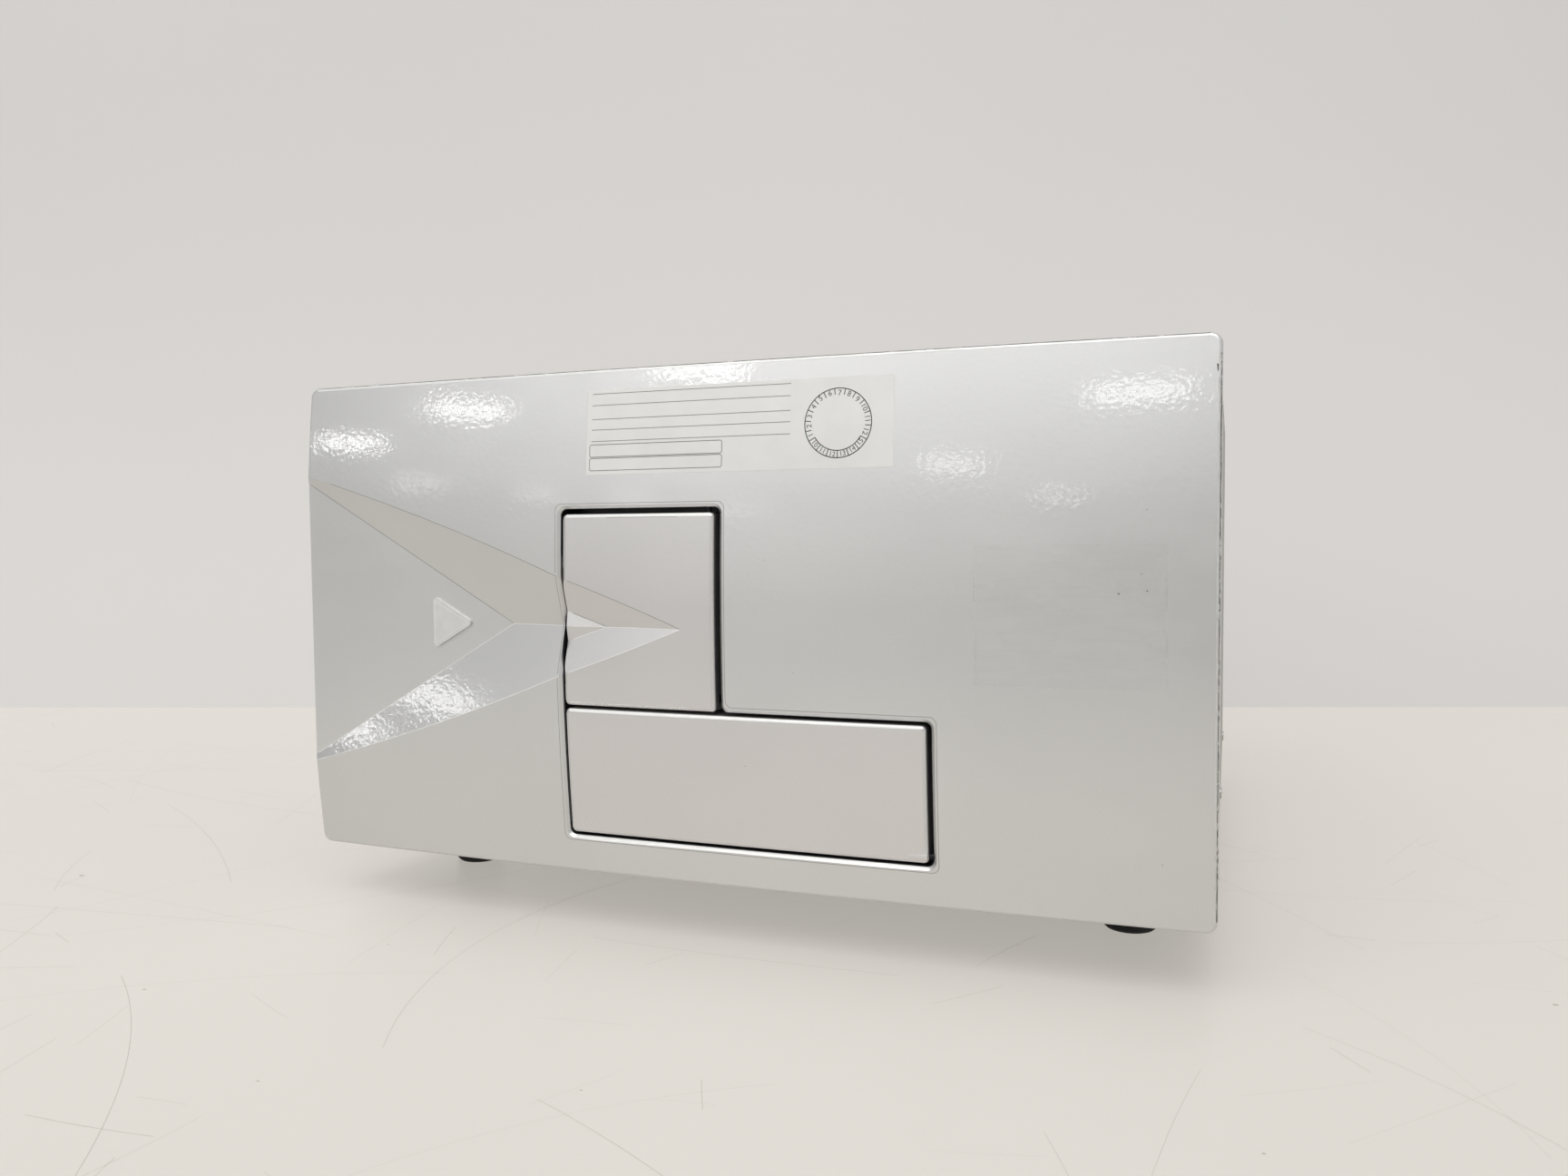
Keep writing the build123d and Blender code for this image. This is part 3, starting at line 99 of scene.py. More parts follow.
# Print on the sticker.  Rows and ends are shares of its height and width, from the top left corner;
# angles run clockwise from the top, in degrees.
PRINT_LIFT = (LABEL_LIFT - 0.02 * MM, LABEL_LIFT + 0.02 * MM)
RULE_ROWS = (0.045, 0.18, 0.345, 0.47, 0.605)
RULE_ENDS = (0.018, 0.685)
RULE_WIDTH = 0.26 * MM
BOX_ROWS = ((0.645, 0.79), (0.805, 0.95))
BOX_ENDS = (0.012, 0.467)
BOX_CORNER = 0.9 * MM
BOX_LINE = 0.3 * MM
DIAL = (0.833, 0.505)
DIAL_RADIUS = 14.3 * MM
DIAL_INNER = DIAL_RADIUS - 3.0 * MM
DIAL_NUMBERS = DIAL_RADIUS - 1.62 * MM      # radius on which the numbers stand
DIAL_MONTHS = (240, 257, 275, 294, 313.5, 333.5, 353, 372, 391, 411, 432, 456, 480)
DIAL_YEARS = (240, 220, 200, 180, 160, 140, 120)
MONTH_SIZE = 3.2 * MM
YEAR_SIZE = 2.9 * MM

# Marks of use on the front: (x, z) in millimetres, and the size as the third value of a speck.
CHIP = [(210.38, 241.06), (211.0, 240.76), (210.9, 239.47),
        (211.05, 239.2), (210.95, 238.92), (210.7, 237.91)]
SPECKS = [(33.0, 168.5, 0.22), (45.5, 121.5, 0.16), (23.0, 80.5, 0.2), (-56.0, 52.0, 0.16),
          (192.5, 52.0, 0.2), (176.3, 155.7, 0.4), (186.5, 156.9, 0.35), (184.5, 163.3, 0.22),
          (156.0, 148.9, 0.2), (186.3, 187.4, 0.2)]
SPECK_TURNS = (0, 1.1, 2.4, 3.3, 4.9)       # corners of a speck, in radians
MARK_LIFT = (-0.05 * MM, 0.06 * MM)
FILM_LINES = [[(121.2, 165.0), (121.3, 140.0), (122.0, 121.5)],
              [(193.6, 172.0), (193.5, 150.0), (194.0, 120.0)],
              [(121.8, 120.6), (128.5, 121.3), (136.0, 119.8), (142.5, 118.4), (152.8, 118.8)]]
FILM_LIFT = (0.13 * MM, 0.18 * MM)
FILM_LINE = 0.24 * MM
RESIDUE_LIFT = 0.16 * MM

# Painted highlight and painted shade lines on contours and creases.  A lift pair runs from just under the
# paint to just above it.
EDGE_LIFT = (-0.12 * MM, 0.012 * MM)
BRIGHT_LIFT = (-0.12 * MM, 0.04 * MM)
DOOR_TOP_LIFT = (-0.10 * MM, 0.06 * MM)
DOOR_SIDE_LIFT = (-0.10 * MM, 0.05 * MM)
CREASE_LIFT = (-0.10 * MM, 0.03 * MM)
RIM_LIFT = (-0.05 * MM, 0.03 * MM)
CONTOUR_STEP = 4.0 * MM
# The crease round the opening is drawn as a thin line of painted shade.
CREASE_SHADE_OUT = 2.15 * MM            # crease round the opening, outwards from its wall
CREASE_SHADE_WIDTH = 0.26 * MM
LIGHT_CREASE = 0.36 * MM
SHADE_CREASE = 0.28 * MM
RECESS_X = (-211.0 * MM, -4.0 * MM)
RECESS_Z = (70.0 * MM, 206.0 * MM)
VALLEY_Z = 138.8 * MM           # creases below this height catch the light
LEAST_CREASE = 0.5 * MM
LINING = 0.25 * MM              # thickness of the black lining on the opening's walls
BEHIND_BEVEL = 1.6 * MM
BESIDE_BEVEL = 2.2 * MM
DOOR_CORNER = 2.4 * MM
DOOR_LEFT_X = FILTER_LOW[0] + 0.65 * MM
DOOR_LEFT = {"plate_door": [(PLATE_LOW[2] + DOOR_CORNER, PLATE_HIGH[2] - DOOR_CORNER)],
             "filter_door": [(FILTER_LOW[2] + DOOR_CORNER, 112.5 * MM),
                             (165.0 * MM, FILTER_HIGH[2] - DOOR_CORNER)]}
WELD = 2e-6                     # points closer than this are one

# Stage and light.
STAGE_REACH = 6.0
WALL_FOOT = ((-0.8127, 0.2414, 0), (0.4153, 0.6232, 0))
WALL_HEIGHT = 3.0
SCRATCH_COUNT = 340
SCRATCH_X = (-0.95, 0.75)
SCRATCH_Y = (-0.62, 0.15)
SCRATCH_LENGTHS = (0.02, 0.035, 0.05, 0.08, 0.14, 0.22)
SCRATCH_STEP = 0.012
SCRATCH_WIDTHS = (0.00006, 0.00020)
SCRATCH_LIFT = 0.00006
TABLE_SPECKS = [(-0.3569, -0.2381, 0.0016), (-0.1886, -0.3445, 0.0009), (-0.0847, -0.3906, 0.0007),
                (0.3315, -0.1775, 0.0012), (0.2262, -0.3275, 0.0007), (-0.13, -0.27, 0.0006),
                (0.02, -0.36, 0.0006)]
TABLE_SPECK_TURNS = (0.2, 1.3, 2.2, 3.6, 4.4, 5.4)
LIT_CENTRE = (0, 0, 0.12)
CEILING = 1.9
LAMP_SIZE = (0.52, 0.17)
# Lamps as x, y and watts.
CEILING_LAMPS = [(-4.0, -4.9, 3.0), (-6.0, -5.8, 3.8), (-7.7, -8.7, 1.5), (-7.1, -10.4, 1.2),
                 (-6.2, -11.4, 1.2), (-5.5, -13.6, 1.2), (-2.0, -4.3, 3.0), (-1.4, -8.7, 1.8),
                 (-0.7, -12.3, 1.6), (0.2, -5.5, 2.2), (-5.65, -4.06, 2.8), (-7.2, -4.55, 3.0)]
ROOM_COLOUR = (0.80, 0.796, 0.790)
ROOM_STRENGTH = 0.80
# Darker sides of the room: heading, how near to it the fall starts, and the share that is left.
SHADED_SIDES = [((0.30, -1.0, 0.05), 0.80, 0.42), ((-0.883, -0.469, 0.0), 0.78, 0.10)]


# ================================================================ node helpers
MIX_FACTOR, MIX_A, MIX_B, MIX_RESULT = 0, 6, 7, 2      # a Mix node's colour sockets


class Tree:
    """Adds and links the nodes of one node tree."""

    def __init__(self, tree):
        self.tree = tree

    def add(self, kind, **settings):
        """New node, with its sockets and settings given by name."""
        node = self.tree.nodes.new(kind)
        for key, value in settings.items():
            if key in node.inputs:
                node.inputs[key].default_value = value
            else:
                setattr(node, key, value)
        return node

    def link(self, source, target):
        self.tree.links.new(source, target)

    def feed(self, value, socket):
        """Links a socket, or writes a plain value."""
        if isinstance(value, bpy.types.NodeSocket):
            self.link(value, socket)
        elif socket.type == "RGBA":
            socket.default_value = rgba(value)
        else:
            socket.default_value = value

    def mix(self, factor, a, b, blend="MIX"):
        """Mixes two colours; each may be a socket, a colour or a number."""
        node = self.add("ShaderNodeMix", data_type="RGBA", blend_type=blend)
        self.feed(factor, node.inputs[MIX_FACTOR])
        self.feed(a, node.inputs[MIX_A])
        self.feed(b, node.inputs[MIX_B])
        return node.outputs[MIX_RESULT]

    def times(self, a, b):
        """Product of two colours."""
        return self.mix(1.0, a, b, "MULTIPLY")

    def maths(self, operation, a, b):
        node = self.add("ShaderNodeMath", operation=operation)
        self.feed(a, node.inputs[0])
        self.feed(b, node.inputs[1])
        return node.outputs[0]

    def fade(self, value, start, end, far):
        """Share that falls smoothly from 1 to far while the value goes from start to end."""
        node = self.add("ShaderNodeMapRange", interpolation_type="SMOOTHSTEP")
        for key, number in (("From Min", start), ("From Max", end), ("To Min", 1.0), ("To Max", far)):
            node.inputs[key].default_value = number
        self.link(value, node.inputs["Value"])
        return node.outputs["Result"]


class Nodes(Tree):
    """Node tree of a new material, built round its Principled shader."""

    def __init__(self, name):
        self.material = bpy.data.materials.new(name)
        self.material.use_nodes = True
        super().__init__(self.material.node_tree)
        self.shader = self.tree.nodes["Principled BSDF"]

    def place(self):
        """Object coordinates, in metres and the same for every piece."""
        return self.add("ShaderNodeTexCoord").outputs["Object"]

    def noise(self, scale, detail=3.0, roughness=0.5, stretch=None):
        """Noise over the object, with an optional stretch per axis."""
        node = self.add("ShaderNodeTexNoise", Scale=scale, Detail=detail, Roughness=roughness)
        source = self.place()
        if stretch:
            mapping = self.add("ShaderNodeMapping")
            mapping.inputs["Scale"].default_value = stretch
            self.link(source, mapping.inputs["Vector"])
            source = mapping.outputs["Vector"]
        self.link(source, node.inputs["Vector"])
        return node.outputs["Fac"]

    def ramp(self, source, *stops):
        """Colour ramp through (position, colour) stops; a number stands for a grey."""
        node = self.add("ShaderNodeValToRGB")
        elements = node.color_ramp.elements
        while len(elements) < len(stops):
            elements.new(0.5)
        for element, (position, colour) in zip(elements, stops):
            element.position = position
            element.color = rgba(colour)
        self.link(source, node.inputs["Fac"])
        return node.outputs["Color"]

    def bump(self, height, strength, distance, below=None):
        node = self.add("ShaderNodeBump", Strength=strength, Distance=distance)
        self.link(height, node.inputs["Height"])
        if below:
            self.link(below, node.inputs["Normal"])
        return node.outputs["Normal"]

    def set(self, **values):
        """Sets the shader's sockets by name, with _ for a space."""
        for key, value in values.items():
            self.feed(value, self.shader.inputs[key.replace("_", " ")])
        return self.material


def rgba(colour):
    """Colour with alpha; a number stands for a grey."""
    if isinstance(colour, (int, float)):
        return (colour, colour, colour, 1.0)
    return tuple(colour) if len(colour) == 4 else (*colour, 1.0)


def srgb(red, green, blue):
    """Linear colour of an 8-bit display colour."""
    return tuple(((c / 255 + 0.055) / 1.055) ** 2.4 for c in (red, green, blue))


# ================================================================ materials
def silver_paint(name, tint):
    """Fine silver paint under clear lacquer, with orange peel, flake and faint wipe marks."""
    m = Nodes(name)
    broad = m.ramp(m.noise(9.0, 2.0), (0.35, 0.965), (0.65, 1.0))
    flake = m.ramp(m.noise(5200.0, 1.0), (0.3, 0.94), (0.7, 1.0))
    wiped = m.ramp(m.noise(420.0, 5.0, 0.7, (0.25, 1.0, 1.0)), (0.70, 0.0), (0.78, 1.0))
    gloss = m.ramp(m.noise(26.0, 4.0, 0.6, (1.0, 1.0, 2.2)), (0.35, 0.36), (0.7, 0.42))
    colour = m.mix(m.maths("MULTIPLY", wiped, 0.06), m.times(m.times(tint, broad), flake), 0.75)
    gloss = m.maths("ADD", gloss, m.maths("MULTIPLY", wiped, 0.12))
    peel = m.bump(m.noise(420.0, 1.5), 0.11, 0.0004)
    fine = m.bump(m.noise(2600.0, 1.0), 0.05, 0.0001, peel)
    m.set(Coat_Weight=0.9, Coat_Roughness=0.06, Coat_Normal=peel)
    return m.set(Base_Color=colour, Metallic=0.85, Roughness=gloss, Normal=fine)


def moulded_plastic(name, tint, roughness):
    """Moulded plastic with a fine spark-eroded texture."""
    m = Nodes(name)
    shade = m.ramp(m.noise(14.0), (0.3, 0.88), (0.7, 1.0))
    gloss = m.ramp(m.noise(60.0, 4.0), (0.3, roughness - 0.05), (0.7, roughness + 0.05))
    normal = m.bump(m.noise(1800.0, 2.0), 0.25, 0.0001)
    return m.set(Base_Color=m.times(tint, shade), Roughness=gloss, Normal=normal)


def powder_coat(name, tint):
    """Matt powder coat with its pebbled surface."""
    m = Nodes(name)
    shade = m.ramp(m.noise(7.0, 2.0), (0.3, 0.96), (0.7, 1.0))
    normal = m.bump(m.noise(1500.0, 2.0, 0.4), 0.30, 0.0002)
    gloss = m.ramp(m.noise(40.0, 4.0), (0.3, 0.46), (0.7, 0.54))
    return m.set(Base_Color=m.times(tint, shade), Metallic=0.1, Roughness=gloss, Normal=normal)


def bare_metal(name, tint, roughness, brush, metallic=1.0):
    """Metal with machining or grinding lines along one axis."""
    m = Nodes(name)
    lines = m.noise(60.0, 5.0, 0.6, brush)
    shade = m.ramp(lines, (0.3, 0.85), (0.7, 1.0))
    gloss = m.ramp(lines, (0.3, roughness - 0.07), (0.7, roughness + 0.07))
    normal = m.bump(lines, 0.12, 0.00005)
    return m.set(Base_Color=m.times(tint, shade), Metallic=metallic, Roughness=gloss, Normal=normal)


def soft_rubber(name, tint=0.025):
    """Matt rubber with a dusty bloom."""
    m = Nodes(name)
    bloom = m.ramp(m.noise(120.0, 5.0, 0.65), (0.4, tint), (0.8, tint * 2.2))
    normal = m.bump(m.noise(2200.0, 2.0), 0.35, 0.0001)
    return m.set(Base_Color=bloom, Roughness=0.82, Normal=normal)


def coated_glass(name, tint, alpha):
    """Clear or coated glass."""
    m = Nodes(name)
    tone = m.ramp(m.noise(180.0, 2.0), (0.3, 0.92), (0.7, 1.0))
    m.set(Coat_Weight=0.5, Coat_Roughness=0.03)
    return m.set(Base_Color=m.times(tint, tone), Roughness=0.05, Alpha=alpha)


def circuit_board(name):
    """Green solder mask with tracks and pads."""
    m = Nodes(name)
    bricks = m.add("ShaderNodeTexBrick", Scale=160.0, offset=0.37)
    bricks.inputs["Color1"].default_value = rgba((0.012, 0.085, 0.035))
    bricks.inputs["Color2"].default_value = rgba((0.016, 0.115, 0.045))
    bricks.inputs["Mortar"].default_value = rgba((0.03, 0.19, 0.075))
    bricks.inputs["Mortar Size"].default_value = 0.06
    m.link(m.place(), bricks.inputs["Vector"])
    dots = m.add("ShaderNodeTexVoronoi", Scale=260.0)
    m.link(m.place(), dots.inputs["Vector"])
    pads = m.ramp(dots.outputs["Distance"], (0.12, 1.0), (0.16, 0.0))
    colour = m.mix(pads, bricks.outputs["Color"], (0.55, 0.52, 0.42))
    return m.set(Base_Color=colour, Roughness=0.38, Metallic=m.maths("MULTIPLY", pads, 0.8))


def paper(name, tint):
    """Coated label paper with faint yellowing and fibres."""
    m = Nodes(name)
    tone = m.ramp(m.noise(60.0, 4.0), (0.3, 0.94), (0.7, 1.0))
    normal = m.bump(m.noise(1800.0, 3.0), 0.12, 0.00005)
    return m.set(Base_Color=m.times(tint, tone), Roughness=0.55, Normal=normal)


def ink(name, tint, wear):
    """Printed ink, a little worn."""
    m = Nodes(name)
    worn = m.ramp(m.noise(900.0, 4.0), (0.55, 0.0), (0.75, wear))
    return m.set(Base_Color=m.mix(worn, tint, 0.7), Roughness=0.5)


def tape_film(name):
    """Ghost of old clear tape: a thin film that dulls the paint."""
    m = Nodes(name)
    wrinkles = m.noise(150.0, 5.0, 0.65, (0.3, 1.0, 1.6))
    veil = m.ramp(wrinkles, (0.40, 0.01), (0.78, 0.07))
    normal = m.bump(wrinkles, 0.35, 0.0002)
    return m.set(Base_Color=srgb(224, 223, 220), Roughness=0.42, Alpha=veil, Normal=normal)


def edge_paint(name, tint, roughness=0.35):
    """Matt paint of one tint with a faintly uneven tone, used for the arrow inlay and for the painted
    highlights and painted shade on edges and creases.
    """
    m = Nodes(name)
    tone = m.ramp(m.noise(240.0, 3.0), (0.3, 0.93), (0.7, 1.0))
    return m.set(Base_Color=m.times(tint, tone), Metallic=0.15, Roughness=roughness)


SILVER = srgb(222, 222, 221)
DOOR_SILVER = srgb(224, 222, 221)
materials = {
    "panel_silver": silver_paint("panel_silver", SILVER),
    "inlay_silver": edge_paint("inlay_silver", srgb(236, 235, 232), 0.38),
    "door_silver": silver_paint("door_silver", DOOR_SILVER),
    "bezel_black": moulded_plastic("bezel_black", (0.012, 0.012, 0.014), 0.42),
    "chassis_steel": powder_coat("chassis_steel", (0.05, 0.05, 0.052)),
    "cover_paint": powder_coat("cover_paint", srgb(206, 204, 200)),
    "rear_paint": powder_coat("rear_paint", srgb(196, 194, 190)),
    "screw_steel": bare_metal("screw_steel", (0.62, 0.61, 0.6), 0.3, (8.0, 8.0, 8.0)),
    "rubber": soft_rubber("rubber"),
    "steel": bare_metal("steel", (0.56, 0.56, 0.57), 0.34, (1.0, 12.0, 30.0)),
    "ground_steel": bare_metal("ground_steel", (0.72, 0.72, 0.73), 0.14, (60.0, 1.0, 60.0)),
    "aluminium": bare_metal("aluminium", (0.74, 0.74, 0.75), 0.32, (30.0, 1.0, 30.0)),
    "anodised": bare_metal("anodised", (0.035, 0.035, 0.04), 0.42, (20.0, 2.0, 20.0), 0.7),
    "bronze": bare_metal("bronze", (0.55, 0.36, 0.16), 0.4, (10.0, 10.0, 10.0)),
    "motor_black": powder_coat("motor_black", (0.02, 0.02, 0.022)),
    "belt_rubber": soft_rubber("belt_rubber", 0.02),
    "black_cast": powder_coat("black_cast", (0.018, 0.018, 0.02)),
    "slide_black": bare_metal("slide_black", (0.05, 0.05, 0.055), 0.4, (1.0, 1.0, 30.0), 0.8),
    "filter_glass": coated_glass("filter_glass", (0.35, 0.2, 0.55), 0.75),
    "lens_glass": coated_glass("lens_glass", (0.85, 0.9, 0.95), 0.35),
    "gear_plastic": moulded_plastic("gear_plastic", (0.8, 0.78, 0.7), 0.4),
    "fan_black": moulded_plastic("fan_black", (0.015, 0.015, 0.016), 0.4),
    "inlet_black": moulded_plastic("inlet_black", (0.014, 0.014, 0.015), 0.45),
    "brass_pins": bare_metal("brass_pins", (0.7, 0.6, 0.38), 0.25, (10.0, 1.0, 10.0)),
    "rocker_black": moulded_plastic("rocker_black", (0.01, 0.01, 0.011), 0.22),
    "board_green": circuit_board("board_green"),
    "chip_black": moulded_plastic("chip_black", (0.02, 0.02, 0.021), 0.5),
}
# Painted highlights along rounded edges and lower creases, a softer painted highlight down the right-hand
# edges, painted shade on the upper creases and round the opening, and a dark line for the panel's right rim
# and its very top edge, where it is painted shade.
painted_highlight = edge_paint("painted_highlight", srgb(249, 249, 247), 0.28)
painted_soft_highlight = edge_paint("painted_soft_highlight", srgb(230, 229, 226), 0.32)
edge_shade = edge_paint("edge_shade", srgb(158, 157, 153))
edge_dark = edge_paint("edge_dark", srgb(84, 82, 79))
# Faint painted highlight along the edges of the tape residue.
tape_edge_highlight = edge_paint("tape_edge_highlight", srgb(252, 252, 250))
tape_edge_highlight.node_tree.nodes["Principled BSDF"].inputs["Alpha"].default_value = 0.25
black_oxide = bare_metal("black_oxide", (0.02, 0.02, 0.022), 0.4, (10.0, 10.0, 10.0), 0.8)


def dress_nodes():
    """Gives each CAD node the material of its slot."""
    slots = {part["node"]: part["material_slot"] for part in frame["record"]["subparts"]}
    for node, piece in frame["nodes"].items():
        piece.data.materials.clear()
        piece.data.materials.append(materials[slots[node]])
    for node in ("plate_door_pins", "filter_door_pins"):
        frame["nodes"][node].data.materials[0] = black_oxide


# ================================================================ shapes on the curved front
def front_at(x, z, lift=0.0):
    """Depth of the curved front face at a place, lifted off it by some distance."""
    upright = UPRIGHT_RADIUS + lift
    reach = SIDE_RADIUS - UPRIGHT_RADIUS + sqrt(upright ** 2 - (z - PANEL_MIDDLE) ** 2)
    return FRONT + SIDE_RADIUS - sqrt(reach ** 2 - x ** 2)


class Probe:
    """Reads the depth of a node's front surface, so that thin trim follows it inside the part's own box."""

    START = FRONT - 20 * MM

    def __init__(self, node):
        mesh = frame["nodes"][node].data
        corners = [vertex.co for vertex in mesh.vertices]
        self.tree = BVHTree.FromPolygons(corners, [polygon.vertices for polygon in mesh.polygons])

    def __call__(self, x, z, lift=0.0):
        spot = self.tree.ray_cast(Vector((x, self.START, z)), Vector((0, 1, 0)))[0]
        return max(cad_bounds[0][1], (front_at(x, z) if spot is None else spot.y) - lift)


def put(name, data):
    """Places data in the scene as an object."""
    item = bpy.data.objects.new(name, data)
    bpy.context.scene.collection.objects.link(item)
    return item


def mesh_data(name, mesh, material):
    """Turns a built mesh into data with one material, and frees it."""
    data = bpy.data.meshes.new(name)
    mesh.to_mesh(data)
    mesh.free()
    data.materials.append(material)
    return data


def make_piece(name, mesh, material, body):
    """Turns a built mesh into a piece that rides on a body."""
    bmesh.ops.recalc_face_normals(mesh, faces=mesh.faces)
    piece = put(name, mesh_data(name, mesh, material))
    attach(piece, body)


def slab(name, x, z, material, high):
    """Thin sheet on the curved front, over an x and z range, up to a lift."""
    wide, tall = 24, 8
    mesh = bmesh.new()
    columns = [x[0] + (x[1] - x[0]) * i / wide for i in range(wide + 1)]
    rows = [z[0] + (z[1] - z[0]) * i / tall for i in range(tall + 1)]
    top = [[mesh.verts.new((cx, front_at(cx, cz, high), cz)) for cx in columns] for cz in rows]
    bottom = [[mesh.verts.new((cx, front_at(cx, cz), cz)) for cx in columns] for cz in rows]
    for r in range(tall):
        for c in range(wide):
            mesh.faces.new((top[r][c], top[r][c + 1], top[r + 1][c + 1], top[r + 1][c]))
            mesh.faces.new((bottom[r][c], bottom[r + 1][c], bottom[r + 1][c + 1], bottom[r][c + 1]))
    rim = [(0, c) for c in range(wide)] + [(r, wide) for r in range(tall)]
    rim += [(tall, c) for c in range(wide, 0, -1)] + [(r, 0) for r in range(tall, 0, -1)]
    for (ra, ca), (rb, cb) in zip(rim, rim[1:] + rim[:1]):
        mesh.faces.new((top[rb][cb], top[ra][ca], bottom[ra][ca], bottom[rb][cb]))
    make_piece(name, mesh, material, "housing")


class Stamp:
    """Gathers thin closed slabs on a front surface into one piece."""

    def __init__(self, low, high, depth=front_at):
        self.low, self.high, self.depth = low, high, depth
        self.mesh = bmesh.new()

    def face(self, *corners):
        self.mesh.faces.new(corners)

    def ribbon(self, path, width, closed=False, across=1):
        """Line of even width along a path of (x, z) points, in a number of strips across."""
        path = [Vector(p) for p in path]
        count = len(path)
        shares = [1 - 2 * i / across for i in range(across + 1)]
        places = [(share, self.low) for share in shares] + [(share, self.high) for share in reversed(shares)]
        rows = []
        for i, spot in enumerate(path):
            before = path[i - 1] if i or closed else spot
            after = path[(i + 1) % count] if i + 1 < count or closed else spot
            ahead = (after - before).normalized()
            side = Vector((-ahead.y, ahead.x)) * width / 2
            turn = (after - spot).normalized() if after != spot else ahead
            side /= max(0.5, abs(turn.dot(ahead)))
            ring = []
            for share, lift in places:
                edge = spot + share * side
                ring.append(self.mesh.verts.new((edge.x, self.depth(edge.x, edge.y, lift), edge.y)))
            rows.append(ring)
        for a, b in zip(rows, rows[1:] + rows[:1] if closed else rows[1:]):
            for i in range(len(a)):
                j = (i + 1) % len(a)
                self.face(a[i], b[i], b[j], a[j])
        if not closed:
            self.face(*rows[0])
            self.face(*reversed(rows[-1]))

    def patch(self, outline):
        """Flat patch bounded by a simple outline of (x, z) points."""
        top = [self.mesh.verts.new((x, self.depth(x, z, self.high), z)) for x, z in outline]
        low = [self.mesh.verts.new((x, self.depth(x, z, self.low), z)) for x, z in outline]
        for a, b, c in tessellate_polygon([[Vector((x, z, 0)) for x, z in outline]]):
            self.face(top[a], top[b], top[c])
            self.face(low[c], low[b], low[a])
        for i in range(len(outline)):
            j = (i + 1) % len(outline)
            self.face(top[i], low[i], low[j], top[j])

    def number(self, text, x, z, size, turn):
        """Upright number centred on a place and turned about it."""
        curve = bpy.data.curves.new("number", "FONT")
        curve.body = text
        curve.size = size
        curve.align_x, curve.align_y = "CENTER", "CENTER"
        curve.extrude = 1.0
        curve.resolution_u = 3
        item = bpy.data.objects.new("number", curve)
        glyph = bpy.data.meshes.new_from_object(item)
        middle = sum((v.co.y for v in glyph.vertices), 0.0) / len(glyph.vertices)
        for vertex in glyph.vertices:
            across, up = vertex.co.x, vertex.co.y - middle
            px = x + across * cos(turn) + up * sin(turn)
            pz = z - across * sin(turn) + up * cos(turn)
            lift = self.high if vertex.co.z > 0 else self.low
            vertex.co = (px, self.depth(px, pz, lift), pz)
        self.mesh.from_mesh(glyph)
        bpy.data.objects.remove(item)
        bpy.data.curves.remove(curve)
        bpy.data.meshes.remove(glyph)

    def finish(self, name, material, body="housing"):
        """Closes the slabs into one piece."""
        bmesh.ops.remove_doubles(self.mesh, verts=self.mesh.verts, dist=WELD)
        make_piece(name, self.mesh, material, body)


def straight(a, b, pieces=12):
    """Points along a straight line, close enough to follow the curved front."""
    steps = [i / pieces for i in range(pieces + 1)]
    return [(a[0] + (b[0] - a[0]) * step, a[1] + (b[1] - a[1]) * step) for step in steps]


def finely(points, reach=2.0 * MM, closed=True):
    """Splits the long runs of a path, so that it follows the surface under it."""
    spread = []
    ends = points[1:] + points[:1] if closed else points[1:]
    for a, b in zip(points, ends):
        pieces = max(1, ceil(hypot(b[0] - a[0], b[1] - a[1]) / reach))
        spread += straight(a, b, pieces)[:-1]
    return spread if closed else spread + points[-1:]


def arc(x, z, radius, start, end, pieces):
    """Points on an arc; angles run clockwise from the top, in degrees."""
    turns = [radians(start + (end - start) * i / pieces) for i in range(pieces + 1)]
    return [(x + radius * sin(t), z + radius * cos(t)) for t in turns]


def rounded_box(x, z, corner):
    """Closed outline of a box with rounded corners."""
    points = []
    for cx, cz, start in ((x[1] - corner, z[1] - corner, 0), (x[1] - corner, z[0] + corner, 90),
                          (x[0] + corner, z[0] + corner, 180), (x[0] + corner, z[1] - corner, 270)):
        points += arc(cx, cz, corner, start, start + 90, 4)
    return finely(points, 8.0 * MM)


def label_place(u, v):
    """Place on the label from shares of its width and height, from its top left corner."""
    return (LABEL_X[0] + u * (LABEL_X[1] - LABEL_X[0]), LABEL_Z[1] - v * (LABEL_Z[1] - LABEL_Z[0]))


def print_label():
    """Ruled lines, two empty boxes and a numbered dial."""
    rules = Stamp(*PRINT_LIFT)
    for row in RULE_ROWS:
        rules.ribbon(straight(label_place(RULE_ENDS[0], row), label_place(RULE_ENDS[1], row)), RULE_WIDTH)
    for upper, lower in BOX_ROWS:
        left, top = label_place(BOX_ENDS[0], upper)
        right, bottom = label_place(BOX_ENDS[1], lower)
        rules.ribbon(rounded_box((left, right), (bottom, top), BOX_CORNER), BOX_LINE, closed=True)
    rules.finish("label_rules", ink("rule_ink", srgb(118, 118, 116), 0.1))
    dial = Stamp(*PRINT_LIFT)
    x, z = label_place(*DIAL)
    dial.ribbon(arc(x, z, DIAL_RADIUS, 0, 360, 72)[:-1], 0.42 * MM, closed=True)
    dial.ribbon(arc(x, z, DIAL_INNER, 120, 240, 30), 0.4 * MM)
    for turns, reach in ((DIAL_MONTHS, DIAL_RADIUS - 2.6 * MM), (DIAL_YEARS, DIAL_INNER)):
        for turn in turns:
            spoke = arc(x, z, DIAL_RADIUS, turn, turn, 1)[:1] + arc(x, z, reach, turn, turn, 1)[:1]
            dial.ribbon(spoke, 0.36 * MM)
    for marks, first, size, upright in ((DIAL_MONTHS, 1, MONTH_SIZE, 0.0), (DIAL_YEARS, 10, YEAR_SIZE, pi)):
        for number, (a, b) in enumerate(zip(marks, marks[1:]), first):
            turn = radians((a + b) / 2)
            spot = x + DIAL_NUMBERS * sin(turn), z + DIAL_NUMBERS * cos(turn)
            dial.number(str(number), *spot, size, turn - upright)
    dial.finish("label_dial", ink("dial_ink", srgb(58, 58, 58), 0.08))


